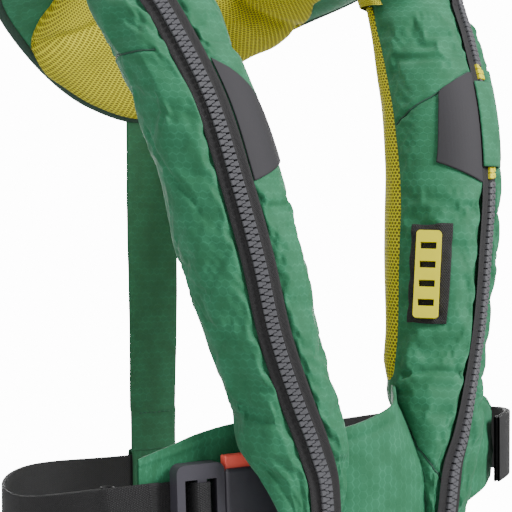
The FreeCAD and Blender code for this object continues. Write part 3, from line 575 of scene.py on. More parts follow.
def finer(points, by_rows, by_columns, closed):
    """The same surface with more points, smoothly between the old ones."""
    rows, columns = points.shape[:2]
    at_rows = np.linspace(0, rows - 1, (rows - 1) * by_rows + 1)
    knots = np.column_stack([np.arange(rows), points.reshape(rows, -1)])
    points = smooth(knots, at_rows).reshape(len(at_rows), columns, 3)
    turned = points.transpose(1, 0, 2).reshape(columns, -1)
    if closed:
        turned = np.concatenate([turned[-3:], turned, turned[:4]])
        places = np.arange(-3, columns + 4)
        at = np.arange(columns * by_columns) / by_columns
    else:
        places = np.arange(columns)
        at = np.linspace(0, columns - 1, (columns - 1) * by_columns + 1)
    spread = smooth(np.column_stack([places, turned]), at)
    return spread.reshape(len(at), len(at_rows), 3).transpose(1, 0, 2)


# ---------------------------------------------------------------- covers

# How far the cloth stands off the lobe at a distance from the zip's centre line: it passes under the
# tape's edges and swells beside them.
CHANNEL = [
    (0, -1.4),
    (7, -1.3),
    (8.6, -0.4),
    (10, 1),
    (12, 2),
    (16, 2.4),
    (24, 1.5),
    (38, 0.4),
    (60, 0),
    (200, 0),
]
# The cover is sewn down this far from the zip, and lies this far under its ends' plain shape.
SEWN_REACH = 9.5
TUCK = 1.2
COLUMNS = 72
SPREAD = 1.7


def column_shifts():
    """Degrees from the zip of each column, closer together beside it."""
    t = np.arange(COLUMNS) / COLUMNS * 2 - 1
    return 180 * np.sinh(SPREAD * t) / np.sinh(SPREAD)


SHIFTS = column_shifts()
ZIP_COLUMN = COLUMNS // 2


def gathers(reach, along, seed):
    """Small puckers running out from the zip."""
    wave = np.sin(along / 3.3 + 1.8 * np.sin(along / 17 + seed)) * 0.6
    wave = wave + np.sin(along / 5.6 + 2.2 * np.sin(along / 23 + 2 * seed))
    return wave * 0.45 * ease((np.abs(reach) - 9) / 5) * np.exp(-np.abs(reach) / 16)


def reach_from_zip(points):
    """Signed distance along each row from the zip's column."""
    across = np.linalg.norm(np.diff(points, axis=1), axis=-1)
    around = np.concatenate([np.zeros((len(points), 1)), np.cumsum(across, 1)], 1)
    return around - around[:, ZIP_COLUMN : ZIP_COLUMN + 1]


def relief(points, along, full, seed):
    """How far each point of a cover stands off its plain shape."""
    reach = reach_from_zip(points)
    swell = smooth(CHANNEL, np.abs(reach))[..., 0]
    uneven = 0.3 * rumple(along, reach, 30, seed)
    return (swell + gathers(reach, along, seed) + uneven) * full


def under_patch(height):
    """How far the cover is held flat by the reflective patch, from 0 to 1, over rows and columns."""
    upright = ease((height - 174) / 8) * ease((254 - height) / 8)
    return upright * ease((SHIFTS - 9) / 6) * ease((104 - SHIFTS) / 24)


class Lobe:
    """One lobe's settled cover, which other pieces lie on. side is 1 for the wearer's right."""

    def __init__(self, side, seed):
        self.side = side
        self.heights = np.linspace(HEM, SHOULDER, 93)
        height = self.heights[:, None] + 0 * SHIFTS
        angle = zip_angle(height) + SHIFTS
        plain = lobe_point(height, angle)
        full = np.clip(smooth(LOBE, self.heights)[:, 3] / 27, 0.35, 1)[:, None]
        ends = ease((SHOULDER - height) / 14) * ease((height - HEM) / 10)
        off = relief(plain, height, full, seed) * ends - TUCK * (1 - ends)
        patched = under_patch(height)
        off = off * (1 - patched) + 0.9 * patched
        points = lobe_point(height, angle, off)
        reach = np.abs(reach_from_zip(plain))
        lined = (angle % 360 > 128) & (angle % 360 < 254) & (height > 70)
        pinned = (reach < SEWN_REACH) | lined | (height < HEM + 6) | (height > SHOULDER - 5)
        held = np.maximum(np.where(pinned, 1.0, 0.0), patched)
        points = settle(points, held)
        self.coarse = points

    def at(self, height, angle, off=0.0):
        """Points on the settled cover, or off it, at heights and degrees from the lobe's front."""
        height, angle, off = np.broadcast_arrays(height, angle, off)
        shift = (angle - zip_angle(height) + 180) % 360 - 180
        row = (height - HEM) / (SHOULDER - HEM) * (len(self.heights) - 1)
        column = (np.arcsinh(shift / 180 * np.sinh(SPREAD)) / SPREAD + 1) / 2 * COLUMNS
        i = np.clip(row.astype(int), 0, len(self.heights) - 2)
        j = np.floor(column).astype(int)
        s = (row - i)[..., None]
        t = (column - j)[..., None]
        grid = self.coarse
        a = j % COLUMNS
        b = (j + 1) % COLUMNS
        low = grid[i, a] * (1 - t) + grid[i, b] * t
        high = grid[i + 1, a] * (1 - t) + grid[i + 1, b] * t
        up = unit(high - low)
        across = unit((grid[i, b] - grid[i, a]) * (1 - s) + (grid[i + 1, b] - grid[i + 1, a]) * s)
        normal = unit(np.cross(across, up))
        points = low * (1 - s) + high * s + normal * off[..., None]
        return self.placed(points)

    def placed(self, points):
        """Points of the wearer's right lobe, on this side."""
        return points * np.array([self.side, 1, 1])

    def seam(self, points, heights, line, depth=1.5, wide=1.1):
        """Sink a sewn seam into fine points along a line of (degrees, height)."""
        angles = (zip_angle(heights)[:, None] + self.fine_shifts) % 360
        line_height = np.interp(angles, [a for a, _ in line], [z for _, z in line])
        inside = (angles > line[0][0]) & (angles < line[-1][0])
        gap = (heights[:, None] - line_height) / wide
        return np.where(inside, -depth * np.exp(-(gap**2)) + 0.5 * np.exp(-((gap / 3) ** 2)), 0)

    def build(self, name, node, seams, folds, body="vest"):
        """The cover's fine mesh, closed at the hem, with seams and folds."""
        points = finer(self.coarse, 3, 3, True)
        heights = np.linspace(HEM, SHOULDER, len(points))
        column = np.arange(COLUMNS * 3) / 3 / COLUMNS * 2 - 1
        self.fine_shifts = 180 * np.sinh(SPREAD * column) / np.sinh(SPREAD)
        rise = np.zeros(points.shape[:2])
        for line in seams:
            rise += self.seam(points, heights, line)
        for line, depth, wide in folds:
            rise += self.seam(points, heights, line, depth, wide)
        up = np.gradient(points, axis=0)
        ahead = np.roll(points, -1, 1) - np.roll(points, 1, 1)
        points = points + unit(np.cross(ahead, up)) * rise[..., None]
        middle = points[0].mean(0)
        tucks = [(0, 6), (0.3, 0.5), (0.7, -1.5), (0.93, -1.2)]
        hem = [middle + (points[0] - middle) * k + np.array([0, 0, z]) for k, z in tucks]
        points = np.concatenate([hem, points])
        points = self.placed(points)
        if self.side < 0:
            points = points[:, ::-1]
        obj = grid_object(name, points, GREEN, body, True, len(points[0]) // 2)
        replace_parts(obj, node)
        return obj


right_lobe = Lobe(1, 1.0)
left_lobe = Lobe(-1, 2.6)
# Seams as (degrees, height) lines: the shoulder piece joins above the patch, and on round it.
OUTER_SEAM = [(188, 250), (296, 247), (350, 249)]
RIGHT_SEAMS = [[(31, 246), (50, 241), (64, 234), (76, 228), (130, 221)], OUTER_SEAM]
LEFT_SEAMS = [
    [(31, 246), (50, 242), (76, 234), (112, 222), (131, 216)],
    OUTER_SEAM,
    [(34, 20), (48, 26), (74, 34), (100, 42.5), (126, 58)],
]
RIGHT_FOLDS = [
    ([(48, 92), (80, 84), (116, 88)], 1.3, 3.5),
    ([(40, 176), (70, 160), (96, 152)], 0.8, 4.0),
    ([(296, 206), (326, 190), (352, 172)], 1.8, 3.2),
    ([(310, 152), (334, 160), (354, 168)], 1.3, 3.0),
    ([(292, 128), (320, 112), (350, 104)], 1.7, 3.2),
    ([(300, 92), (330, 100), (352, 112)], 1.2, 2.8),
    ([(280, 74), (310, 66), (355, 60)], 2.2, 3.4),
]
LEFT_FOLDS = [
    ([(44, 79), (56, 81), (80, 82), (106, 80), (120, 78)], 2.6, 2.2),
    ([(40, 172), (66, 166), (92, 172)], 0.9, 4.0),
    ([(300, 160), (330, 140), (352, 130)], 1.7, 3.2),
    ([(280, 74), (310, 66), (355, 60)], 1.5, 4.0),
]


def tube(name, path, radius, finish, body="vest"):
    """A round cord of thread or piping along a path."""
    path = np.asarray(path, float)
    run = unit(np.gradient(path, axis=0))
    side = unit(np.cross(run, [0.13, 0.21, 0.97]))
    other = np.cross(run, side)
    turn = np.arange(8) * pi / 4
    ring = side[:, None] * np.cos(turn)[None, :, None] + other[:, None] * np.sin(turn)[None, :, None]
    return grid_object(name, path[:, None] + ring * radius, finish, body, closed=True)


def seam_piping(lobe, lines, name):
    """The dark joins that show in a lobe's sewn seams."""
    for k, line in enumerate(lines):
        angle = np.linspace(line[0][0], line[-1][0], 90)
        height = np.interp(angle, [a for a, _ in line], [z for _, z in line])
        tube(f"{name}_{k}", lobe.at(height, angle, -0.5), 0.55, THREAD)


seam_piping(right_lobe, RIGHT_SEAMS, "right_seam")
seam_piping(left_lobe, LEFT_SEAMS, "left_seam")
right_lobe.build("right_lobe_cloth", "right_lobe_cover", RIGHT_SEAMS, RIGHT_FOLDS)
left_lobe.build("left_lobe_cloth", "left_lobe_cover", LEFT_SEAMS, LEFT_FOLDS)

SHOULDER_ZIP = float(zip_angle(SHOULDER))


def collar_cover():
    """The collar's settled cover."""
    runs = np.linspace(0, COLLAR_END, 125)
    run = runs[:, None] + 0 * SHIFTS
    angle = SHOULDER_ZIP + SHIFTS + 0 * run
    plain = collar_point(run, angle)
    ends = ease(run / 0.35) * ease((COLLAR_END - run) / 0.35)
    off = relief(plain, run * 40, 1.0, 4.2) * ends - TUCK * (1 - ends)
    points = collar_point(run, angle, off)
    turned = angle % 360
    lined = (turned > 102) & (turned < 256)
    at_seam = (run < 0.12) | (run > COLLAR_END - 0.12)
    pinned = lined | at_seam | (np.abs(reach_from_zip(plain)) < SEWN_REACH)
    points = settle(points, np.where(pinned, 1.0, 0.0))
    points = finer(points, 2, 3, True)
    obj = grid_object("collar_cloth", points, GREEN, "vest", True, ZIP_COLUMN * 3)
    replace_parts(obj, "collar_cover")
    return obj


collar_cover()

# ---------------------------------------------------------------- linings and binding


# How far round the collar its lining reaches: stations from the nearer seam, then degrees.
LINING_REACH = [(0, 250), (2, 215), (3.5, 197), (4.3, 200), (4.5, 222), (4.8, 250), (7, 252)]


def lining_reach(run):
    """The lining's far edge at a station of the collar."""
    return smooth(LINING_REACH, np.minimum(run, COLLAR_END - run))[..., 0]


def lining_pad(name, node, points_at, finish, angles, rise, span, rows, taper, crown=3):
    """A mesh pad between two angles, thickest in its middle, with its edges on the cover."""
    first, last = angles
    low, high = span
    t = np.linspace(0, 1, 61)
    along = np.linspace(low, high, rows)[:, None]
    last = last(along) if callable(last) else last
    hump = 1 - np.abs(2 * t - 1) ** crown
    end = ease((along - low) / taper) if taper else 1.0
    off = -0.6 + (rise + 0.6) * np.sqrt(np.maximum(hump, 0)) * end
    angle = first + (last - first) * t
    points = points_at(along, angle, off)
    obj = grid_object(name, points, finish, "vest")
    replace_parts(obj, node)
    return obj


def lobe_lining(lobe):
    """Points of a lobe's lining, dimpled along its middle."""

    def points(height, angle, off):
        height, angle, off = np.broadcast_arrays(height, angle, off)
        dimple = -0.9 * np.exp(-(((angle - 191) / 5) ** 2)) + 0.4 * rumple(height, angle, 15, 3)
        points = lobe.placed(lobe_point(height, angle, off + dimple * (off > 1.6)))
        return points[:, ::-1] if lobe.side < 0 else points

    return points


def yoke_lining(run, angle, off):
    """Points of the collar's lining, creased where it turns round the neck."""
    run, angle, off = np.broadcast_arrays(run, angle, off)
    from_end = np.minimum(run, COLLAR_END - run)
    fold = np.interp(angle, [150, 170, 190, 212, 246], [6.4, 5.7, 5.15, 4.82, 4.68])
    crease = -3.2 * np.exp(-(((from_end - fold) / 0.11) ** 2))
    crease = crease + 2.2 * np.exp(-(((from_end - fold - 0.42) / 0.25) ** 2))
    seam = -1.0 * np.exp(-(((angle - 150) / 3.5) ** 2))
    uneven = 0.7 * rumple(run * 38, angle, 19, 5)
    return collar_point(run, angle, off + (crease + seam + uneven) * (off > 2))


LOBE_LINED = ((132, 250), 2.2, (68, SHOULDER), 140, 20)
YOKE_LINED = ((106, lining_reach), 5, (0, COLLAR_END), 420, 0, 6)
lining_pad("right_lobe_mesh", "right_lobe_lining", lobe_lining(right_lobe), MESH, *LOBE_LINED)
lining_pad("left_lobe_mesh", "left_lobe_lining", lobe_lining(left_lobe), MESH, *LOBE_LINED)
lining_pad("yoke_mesh", "collar_lining", yoke_lining, FINE_MESH, *YOKE_LINED)


def binding():
    """The bound edge along the collar's lower and armhole edge."""
    runs = np.linspace(2.3, COLLAR_END - 2.3, 260)[:, None]
    t = np.linspace(0, 1, 25)
    angle = 250 + 38 * t
    off = 0.2 + 2.0 * np.sqrt(np.maximum(1 - np.abs(2 * t - 1) ** 3, 0)) + 0 * runs
    points = collar_point(runs + 0 * t, angle + 0 * runs, off)
    obj = grid_object("yoke_edge", points, BINDING, "vest")
    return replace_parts(obj, "yoke_binding")


binding()

# ---------------------------------------------------------------- zip

TAPE_OFF = 0.9
TAPE_WIDE = 17
TOOTH_LOW = 1.3
TOOTH_HIGH = 3.3
PITCH = 3.5


def zip_path(side):
    """Centre, cross direction and normal of the zip up a lobe, from its hem, at 1 mm steps."""
    heights = np.linspace(HEM + 1, SHOULDER, 340)
    angle = zip_angle(heights)
    centre = lobe_point(heights, angle)
    near = lobe_point(heights, angle + 3) - lobe_point(heights, angle - 3)
    return framed_path(centre, near, np.array([side, 1, 1]))


def framed_path(centre, near, flip):
    """Square the zip's cross directions to its run, then mirror it if asked."""
    run = unit(np.gradient(centre, axis=0))
    across = unit(near)
    normal = unit(np.cross(across, run))
    across = unit(np.cross(run, normal))
    return centre * flip, across * flip, normal * flip


def collar_zip_path():
    """The same over the collar."""
    runs = np.linspace(0, COLLAR_END, 560)
    centre = collar_point(runs, SHOULDER_ZIP)
    near = collar_point(runs, SHOULDER_ZIP + 3) - collar_point(runs, SHOULDER_ZIP - 3)
    return framed_path(centre, near, np.ones(3))


PATHS = {"right": zip_path(1), "left": zip_path(-1), "collar": collar_zip_path()}


def zip_tape(name, node, path):
    """Tape whose edges lift a little against the cloth, with a raised cord either side of the teeth."""
    centre, across, normal = path
    side = np.linspace(-1, 1, 33)
    lift = TAPE_OFF + 0.55 * np.exp(-(((np.abs(side) * TAPE_WIDE / 2 - 3.4) / 0.7) ** 2))
    lift = lift - 0.9 * np.maximum(0, np.abs(side) - 0.9) * 5
    points = (
        centre[:, None]
        + across[:, None] * (side * TAPE_WIDE / 2)[None, :, None]
        + normal[:, None] * lift[None, :, None]
    )
    obj = grid_object(name, points, TAPE, "vest")
    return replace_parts(obj, node)


# One tooth seen from outside: (distance across from the middle, distance along).
TOOTH = [
    (3.2, 1.42),
    (3.2, -1.42),
    (1.35, -1.42),
    (1.1, -1.05),
    (0.5, -0.8),
    (-0.95, -0.8),
    (-1.15, -0.6),
    (-1.15, 0.6),
    (-0.95, 0.8),
    (0.5, 0.8),
    (1.1, 1.05),
    (1.35, 1.42),
]


def zip_teeth(name, nodes, path, spans, finish):
    """Interlocked moulded teeth over parts of a zip path, each span in millimetres along it."""
    centre, across, normal = path
    steps = np.linalg.norm(np.diff(centre, axis=0), axis=-1)
    arc = np.concatenate([[0], np.cumsum(steps)])
    knots = np.column_stack([arc, centre, across, normal])
    outline = np.array(TOOTH)
    levels = ((TOOTH_LOW - 0.5, 1.0), (TOOTH_HIGH - 0.5, 1.0), (TOOTH_HIGH, 0.82))
    points = []
    faces = []
    count = len(outline)
    for first, last in spans:
        for side, start in ((1, 0), (-1, PITCH / 2)):
            for middle in np.arange(first + PITCH / 2 + start, last, PITCH):
                values = smooth(knots, np.array([middle - 1, middle, middle + 1]))
                run = unit(values[2, :3] - values[0, :3])
                here, out, up = values[1, :3], unit(values[1, 3:6]), unit(values[1, 6:9])
                base = len(points)
                for rise, grow in levels:
                    shape = (outline - [1.0, 0]) * grow + [1.0, 0]
                    for a, b in shape:
                        points.append(here + out * (a * side) + run * b + up * rise)
                for ring in range(2):
                    for k in range(count):
                        n = (k + 1) % count
                        low = base + ring * count
                        faces.append((low + k, low + n, low + count + n, low + count + k))
                faces.append(tuple(base + 2 * count + k for k in range(count)))
    obj = new_object(name, points, faces, finish, "vest")
    obj.data.shade_flat()
    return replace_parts(obj, *nodes)


FLAP_LOW = 192
FLAP_HIGH = 240
WEAK_REACH = 8
FLAP_SEWN = 16
FLAP_WRAP = 42


def arc_at(path, height):
    """Distance along a lobe's zip at a height."""
    centre = path[0]
    steps = np.linalg.norm(np.diff(centre, axis=0), axis=-1)
    arc = np.concatenate([[0], np.cumsum(steps)])
    return float(np.interp(height, centre[:, 2], arc))


for part in ("right", "left", "collar"):
    zip_tape(f"{part}_tape", f"{part}_zip_tape", PATHS[part])
top = arc_at(PATHS["right"], SHOULDER)
zip_teeth("right_teeth", ["right_zip_chain"], PATHS["right"], [(4, top)], TEETH)
weak_ends = (FLAP_LOW - WEAK_REACH, FLAP_LOW, FLAP_HIGH, FLAP_HIGH + WEAK_REACH)
marks = [arc_at(PATHS["left"], z) for z in weak_ends]
zip_teeth(
    "left_teeth",
    ["left_zip_chain"],
    PATHS["left"],
    [(4, marks[0]), (marks[1], marks[2]), (marks[3], top)],
    TEETH,
)
zip_teeth(
    "weak_teeth",
    ["burst_point_teeth"],
    PATHS["left"],
    [(marks[0], marks[1]), (marks[2], marks[3])],
    WEAK_TEETH,
)
collar_arc = np.linalg.norm(np.diff(PATHS["collar"][0], axis=0), axis=-1).sum()
zip_teeth("collar_teeth", ["collar_zip_chain"], PATHS["collar"], [(0, collar_arc)], TEETH)

# ---------------------------------------------------------------- patches, flap and strip backing

# The patches: their heights, the lowest height of the far side, and that side's (height, degrees).
PATCH_LOW = 183
PATCH_HIGH = 245
PATCH_FAR_LOW = 194
PATCH_FROM_ZIP = 17
RIGHT_PATCH = [(194, 100), (215, 88), (228, 76), (234, 64), (240, 48), (245, 30)]
LEFT_PATCH = [(194, 90), (215, 84), (228, 79), (234, 75), (240, 56), (245, 34)]


def reflector(lobe, far_side, name, node):
    """A reflective patch between the zip and the lobe's inner edge, its far side a long arc."""
    t = np.linspace(0, 1, 61)[:, None]
    s = np.linspace(0, 1, 49)[None, :]
    far_height = PATCH_FAR_LOW + (PATCH_HIGH - PATCH_FAR_LOW) * t
    far_angle = smooth(far_side, far_height)[..., 0]
    near_height = PATCH_LOW + (PATCH_HIGH - PATCH_LOW) * t
    height = near_height * (1 - s) + far_height * s
    angle = (zip_angle(near_height) + PATCH_FROM_ZIP) * (1 - s) + far_angle * s
    points = lobe.at(height, angle, 0.5)
    if lobe.side < 0:
        points = points[:, ::-1]
    obj = grid_object(name, points, REFLECTIVE, "vest")
    thicken(obj, 0.8)
    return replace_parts(obj, node)


reflector(right_lobe, RIGHT_PATCH, "right_patch", "right_reflector")
reflector(left_lobe, LEFT_PATCH, "left_patch", "left_reflector")


def burst_flap():
    """The cloth flap over the burst point, sewn along the edge nearer the neck."""
    heights = np.linspace(FLAP_LOW, FLAP_HIGH, 41)[:, None]
    t = np.linspace(0, 1, 41)[None, :]
    middle = zip_angle(heights)
    angle = middle + FLAP_SEWN - FLAP_WRAP * t
    rise = 2.4 + 1.9 * np.sin(pi * t) ** 0.6 + 0.3 * np.sin(heights / 7 + 4 * t) * t
    points = lobe_point(heights + 0 * t, angle, rise)
    points = left_lobe.placed(points)
    obj = grid_object("flap_cloth", points, GREEN, None)
    thicken(obj, 1.0)
    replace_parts(obj, "burst_flap")
    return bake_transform(obj)


burst_flap()


# Painted shade: a black sheet stands in for the shadow beside and under the yellow strip.
WINDOW_HEIGHTS = (107, 160)
WINDOW_EDGES = (77, 116)


def strip_shade_sheet():
    """A black sheet behind the slotted strip, as painted shade: it stands in for the shadow beside the
    strip and in its slots.
    """
    low, high = WINDOW_HEIGHTS
    height = low + (high - low) * np.linspace(0, 1, 41)[:, None]
    angle = np.linspace(*WINDOW_EDGES, 31)[None, :]
    points = left_lobe.at(height + 0 * angle, angle + 0 * height, 0.5)[:, ::-1]
    obj = grid_object("strip_shade_sheet", points, WEB, "vest")
    thicken(obj, 0.7)
    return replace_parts(obj, "strip_backing")


strip_shade_sheet()

# ---------------------------------------------------------------- panel and wings


def standing(stations, count):
    """Centre line, outward normals and lowest and highest edges through stations of (x, y, low, high)."""
    knots = [(k, *station) for k, station in enumerate(stations)]
    x, y, low, high = np.moveaxis(smooth(knots, np.linspace(0, len(stations) - 1, count)), -1, 0)
    run = unit(np.column_stack([np.gradient(x), np.gradient(y), 0 * x]))
    normal = np.column_stack([run[:, 1], -run[:, 0], 0 * x])
    return x, y, low, high, normal


def upright(across, height):
    """No lean."""
    return 0 * across * height


def into_lobe(across, height):
    """How far back the panel's upper part leans, to run into the left lobe's inner side."""
    return 22 * ease((across - 0.4) / 0.55) * ease((height - 28) / 42)


def cloth_panel(name, node, stations, thick, crease, seed, lean=upright):
    """A double-layered cloth panel standing along its stations, closed round its edges."""
    count = 91
    x, y, low, high, normal = standing(stations, count)
    turn = np.linspace(0, 2 * pi, 121)[:-1]
    up = 0.5 - 0.5 * np.sign(np.cos(turn)) * np.abs(np.cos(turn)) ** 0.55
    face = np.sin(turn)
    full = np.abs(face) ** 0.35 * np.sign(face)
    height = low[:, None] + (high - low)[:, None] * up[None, :]
    along = np.arange(count)[:, None] * 1.0
    ripple = 0.35 * rumple(height, along, 11, seed) + crease(along / (count - 1), up[None, :])
    away = full[None, :] * thick / 2 + ripple
    back = lean(along / (count - 1), height)
    points = stack(x[:, None] - 0.14 * back, y[:, None] + back, height) + normal[:, None] * away[..., None]
    obj = grid_object(name, points, GREEN, "vest", closed=True)
    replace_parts(obj, node)
    return obj


PANEL = [
    (-31, -116.5, -44, 57),
    (-25, -119, -44, 56),
    (-12, -121.5, -45, 59.5),
    (0, -122, -46, 64),
    (10, -121.5, -45, 67.5),
    (19, -120, -44, 71),
    (27, -117.5, -44, 73),
    (32, -114, -43, 72),
]
RIGHT_WING = [
    (-40, -79, -34, 56),
    (-62, -77.5, -34, 57),
    (-84, -74, -32, 53),
    (-103, -70.5, -22, 46.5),
    (-118, -65.5, -8, 40.5),
]
LEFT_WING = [
    (44, -76, -34, 44),
    (60, -77, -22, 49),
    (76, -79, -10, 57),
    (92, -80.5, 0, 62),
    (106, -78, 6, 60),
    (119, -69, 10, 53),
]


def panel_crease(across, up):
    """The panel dips along its top hem and bows a little in its middle."""
    hem = -0.7 * np.exp(-(((up - 0.93) / 0.02) ** 2))
    sag = 0.8 * np.exp(-(((up - 0.6 - 0.3 * across) / 0.08) ** 2))
    return hem + sag


def wing_crease(across, up):
    """The wing folds down from its buckle end."""
    hem = -0.6 * np.exp(-(((up - 0.94) / 0.02) ** 2))
    fold = 1.0 * np.exp(-(((up - 0.75 + 0.35 * across) / 0.09) ** 2))
    return hem + fold


cloth_panel("front_panel", "centre_panel", PANEL, 4.4, panel_crease, 1.4, into_lobe)
cloth_panel("right_wing_cloth", "right_wing", RIGHT_WING, 3.4, wing_crease, 2.2)
cloth_panel("left_wing_cloth", "left_wing", LEFT_WING, 3.4, wing_crease, 3.1)

# ---------------------------------------------------------------- straps and belt

WIDTH = 38
UP = np.array([0, 0, 1.0])


STRAP_TOP = 223
STRAP_END = 14


def back_strap():
    """The cloth strap down the back, its end folded up and sewn."""
    heights = np.linspace(STRAP_TOP, STRAP_END, 120)
    width = np.interp(heights, [22, 80, 150, 222], [32, 34, 36, 38])
    side = np.linspace(-1, 1, 31)
    waist = 117 + 0.5 * np.sin(heights / 21)
    edge = np.abs(side) ** 8
    fold = 0.9 * ease((42 - heights) / 4)
    y = waist[:, None] - fold[:, None] - 0.5 * (1 - edge)[None, :] + 0.2 * rumple(
        heights[:, None], 30 * side[None, :], 12, 2.0
    )
    points = stack(side[None, :] * width[:, None] / 2, y, heights[:, None])
    obj = grid_object("back_strap_cloth", points, DEEP_GREEN, "vest")
    thicken(obj, 1.6, 0.0)
    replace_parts(obj, "back_strap")
    row = [(x, 114.9, 38) for x in np.linspace(-12, 12, 9)]
    thread = stitches("strap_stitches", row, (0, -1, 0), THREAD, "vest")
    return obj


back_strap()


def strap_loop():
    """The strap's end loop, wrapped round the belt."""
    turn = np.linspace(0, 2 * pi, 61)[:-1]
    y = 118 + 3.2 * squarish(np.sin(turn))
    z = -7 + 22 * np.sign(np.cos(turn)) * np.abs(np.cos(turn)) ** 0.3
    side = np.linspace(-16, 16, 25)
    points = stack(side[:, None], y[None, :], z[None, :])
    obj = grid_object("strap_loop_cloth", points, DEEP_GREEN, "vest", closed=True)
    thicken(obj, 0.8, 0.0)
    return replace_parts(obj, "strap_loop")


strap_loop()

BELT_HEIGHT = [
    (-90, 18),
    (-44, 29),
    (0, 24),
    (45, 8),
    (90, -7),
    (135, -2),
    (180, -3),
    (225, 12),
    (270, 18),
]


def belt_line(first, last, off, count):
    """Points along the belt line between two angles, in degrees from the wearer's left."""
    angle = np.linspace(first, last, count)
    turn = np.radians(angle)
    normal = unit(stack(np.cos(turn) / 152, np.sin(turn) / 118, 0 * turn))
    height = smooth(BELT_HEIGHT, angle)[:, 0]
    # It stands out where it leaves the wing.
    bulge = 8 * np.exp(-(((angle + 24) / 17) ** 2))
    return stack(152 * np.cos(turn), 118 * np.sin(turn), height) + normal * (off + bulge)[:, None]


def belt_band(name, nodes, centres, width=WIDTH, thick=1.6, body="vest"):
    """A run of belt webbing."""
    across, normals = frames_along(centres, UP)
    obj = band(name, centres, across, normals, width, thick, WEB, body)
    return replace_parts(obj, *nodes)


belt_band("belt_back_web", ["belt_back"], belt_line(-44, 189, 0, 260))
belt_band("belt_left_web", ["belt_left_tab"], belt_line(-44, -18, 2.0, 40))

# The buckle's own directions: X from the male half to the female half, Y up, Z outwards.
BUCKLE_AT = np.array([-78.3, -83.6, 11])
BUCKLE_X = unit([0.991, -0.13, 0.03])
BUCKLE_Z = unit(np.cross(BUCKLE_X, UP))
BUCKLE_Y = np.cross(BUCKLE_Z, BUCKLE_X)


def in_buckle(points):
    """Points given in the buckle's own directions."""
    points = np.asarray(points, float)
    return BUCKLE_AT + points @ np.array([BUCKLE_X, BUCKLE_Y, BUCKLE_Z])


def buckle_band(name, node, path, body):
    """Webbing through the buckle, along a path of its X and Z."""
    knots = [(k, x, z) for k, (x, z) in enumerate(path)]
    x, z = smooth(knots, np.linspace(0, len(path) - 1, 110)).T
    centres = in_buckle(np.column_stack([x, 0 * x, z]))
    across, normals = frames_along(centres, BUCKLE_Y)
    obj = band(name, centres, across, normals, WIDTH - 0.6, 1.5, WEB, body)
    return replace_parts(obj, node)


WEB_PATH = [
    (-33, -5.9),
    (-24, -5.9),
    (-20.2, -5.4),
    (-18.4, -3),
    (-17.2, 0),
    (-16.6, 3.2),
    (-16.1, 5.2),
    (-14.6, 6.1),
    (-12.8, 6.3),
    (-11, 6.1),
    (-9.4, 5.2),
    (-8.9, 3.6),
    (-8.6, 0),
    (-7.9, -4.4),
]
ANCHOR_PATH = [(32, -4.6), (32, 0), (32.1, 4.2), (33.2, 6.6), (36, 7.4), (39, 8.2), (41.5, 9.4)]
buckle_band("frame_web", "buckle_webbing", WEB_PATH, "buckle_male")
buckle_band("anchor_web", "buckle_anchor", ANCHOR_PATH, "vest")


def belt_front():
    """The belt's front run from the hip to the buckle, and its turned-back tail."""
    start = belt_line(183, 211, 2.1, 12)
    end = in_buckle([[-36, 0, -5.9], [-33, 0, -5.9]])
    corner = np.concatenate([start, end])
    steps = np.linalg.norm(np.diff(corner, axis=0), axis=-1)
    arc = np.concatenate([[0], np.cumsum(steps)])
    centres = smooth(np.column_stack([arc, corner]), np.linspace(0, arc[-1], 110))
    obj = belt_band("belt_front_web", ["belt_front"], centres, body=None)
    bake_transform(obj)
    inner = belt_line(192, 210, -2.4, 60)
    tail = belt_band("belt_tail_web", ["belt_tail"], inner, thick=2.6, body=None)
    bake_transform(tail)
    turn = np.linspace(0, 1.8 * pi, 30)
    rolled = inner[-1] + 3.2 * stack(np.sin(turn), 1 - np.cos(turn), 0 * turn)
    end_roll = belt_band("belt_tail_roll", [], rolled, thick=1.4, body=None)
    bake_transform(end_roll)


belt_front()

# ---------------------------------------------------------------- hard parts


def dress(finish, *names, rounding=0.0):
    """Give CAD pieces their finish, and round their edges."""
    for name in names:
        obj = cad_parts[name]
        obj.data.materials.clear()
        obj.data.materials.append(finish)
        if rounding:
            soften(obj, rounding)


dress(BUCKLE_BLACK, "buckle_male", "buckle_female", rounding=1.1)
dress(RED, "release_button_upper", "release_button_lower", rounding=0.5)
dress(YELLOW, "accessory_strip", rounding=0.8)
dress(METAL, "right_zip_slider", "left_zip_slider", "right_pull_tab", "left_pull_tab", rounding=0.3)
ORANGE_CLOTH = moulded("bladder_cloth", linear(226, 180, 60), 0.6)
CYLINDER = moulded("cylinder_steel", linear(190, 192, 194), 0.3, 0.02, 0.95)
INFLATOR_BLACK = moulded("inflator_plastic", linear(52, 52, 55), 0.45)
CAPSULE_GREEN = moulded("capsule_plastic", linear(80, 180, 110), 0.3)
WHISTLE_ORANGE = moulded("whistle_plastic", linear(230, 140, 40), 0.35)
dress(ORANGE_CLOTH, "right_bladder", "left_bladder", "collar_bladder")
dress(CYLINDER, "gas_cylinder", "piercing_pin")
dress(INFLATOR_BLACK, "inflator_body", "manual_lever", "oral_tube", "oral_valve", "oral_cap", rounding=0.4)
dress(CAPSULE_GREEN, "firing_capsule", "status_indicator", rounding=0.4)
dress(WHISTLE_ORANGE, "whistle", rounding=0.4)

# ---------------------------------------------------------------- stage, light and camera


def lamp(name, place, size, power, target=(0, 0, 0.15)):
    """A soft square light aimed at the jacket."""
    light = bpy.data.lights.new(name, "AREA")
    light.shape = "SQUARE"
    light.size = size
    light.energy = power
    obj = bpy.data.objects.new(name, light)
    obj.location = place
    obj.rotation_euler = (Vector(target) - Vector(place)).to_track_quat("-Z", "Y").to_euler()
    bpy.context.scene.collection.objects.link(obj)
    return obj


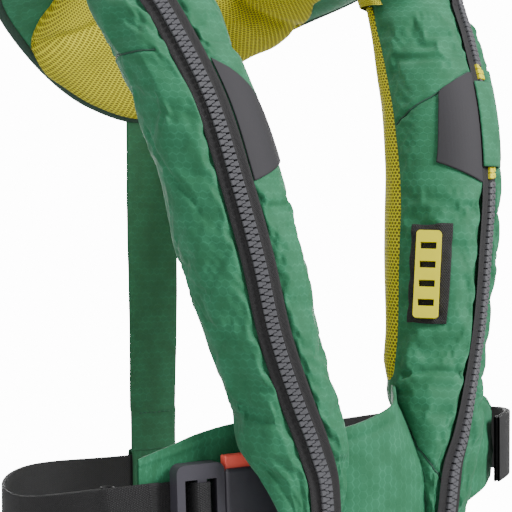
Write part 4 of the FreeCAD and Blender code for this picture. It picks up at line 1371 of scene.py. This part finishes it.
lamp("key_light", (0.75, -1.5, 1.15), 0.7, 84)
lamp("fill_light", (-1.5, -0.5, 0.35), 1.2, 12)
lamp("top_light", (-0.2, 0.5, 1.5), 1.0, 14)


def studio(white, grey):
    """An even grey room with a bright white wall behind the jacket."""
    room = bpy.data.worlds.new("studio")
    room.use_nodes = True
    tree = room.node_tree
    place = tree.nodes.new("ShaderNodeTexCoord")
    facing = tree.nodes.new("ShaderNodeVectorMath")
    facing.operation = "DOT_PRODUCT"
    facing.inputs[1].default_value = (0.5632, 0.8257, -0.034)
    spread = tree.nodes.new("ShaderNodeMapRange")
    spread.interpolation_type = "SMOOTHSTEP"
    spread.inputs[1].default_value = 0.9
    spread.inputs[2].default_value = 0.965
    spread.inputs[3].default_value = grey
    spread.inputs[4].default_value = white
    tree.links.new(place.outputs["Generated"], facing.inputs[0])
    tree.links.new(facing.outputs["Value"], spread.inputs["Value"])
    tree.links.new(spread.outputs[0], tree.nodes["Background"].inputs["Strength"])
    tree.nodes["Background"].inputs["Color"].default_value = (1, 1, 1, 1)
    return room


bpy.context.scene.world = studio(14.0, 0.55)

FLOOR = moulded("pale_floor", linear(250, 250, 250), 0.9, 0.01)
FLOOR_LEVEL = -1.0
FLOOR_RADIUS = 3.5
edge_turns = [k * pi / 24 for k in range(48)]
round_floor = [(FLOOR_RADIUS * cos(t), FLOOR_RADIUS * sin(t), FLOOR_LEVEL) for t in edge_turns]
floor_mesh = bpy.data.meshes.new("floor")
floor_mesh.from_pydata(round_floor, [], [tuple(range(len(round_floor)))])
floor_mesh.materials.append(FLOOR)
floor = bpy.data.objects.new("floor", floor_mesh)
bpy.context.scene.collection.objects.link(floor)

camera_data = bpy.data.cameras.new("camera")
camera_data.lens = 121.1
camera_data.sensor_width = 36
camera = bpy.data.objects.new("camera", camera_data)
camera.location = (-0.5635, -0.8261, 0.175)
camera.rotation_euler = (radians(88.04), 0, radians(-34.3))
bpy.context.scene.collection.objects.link(camera)
bpy.context.scene.camera = camera
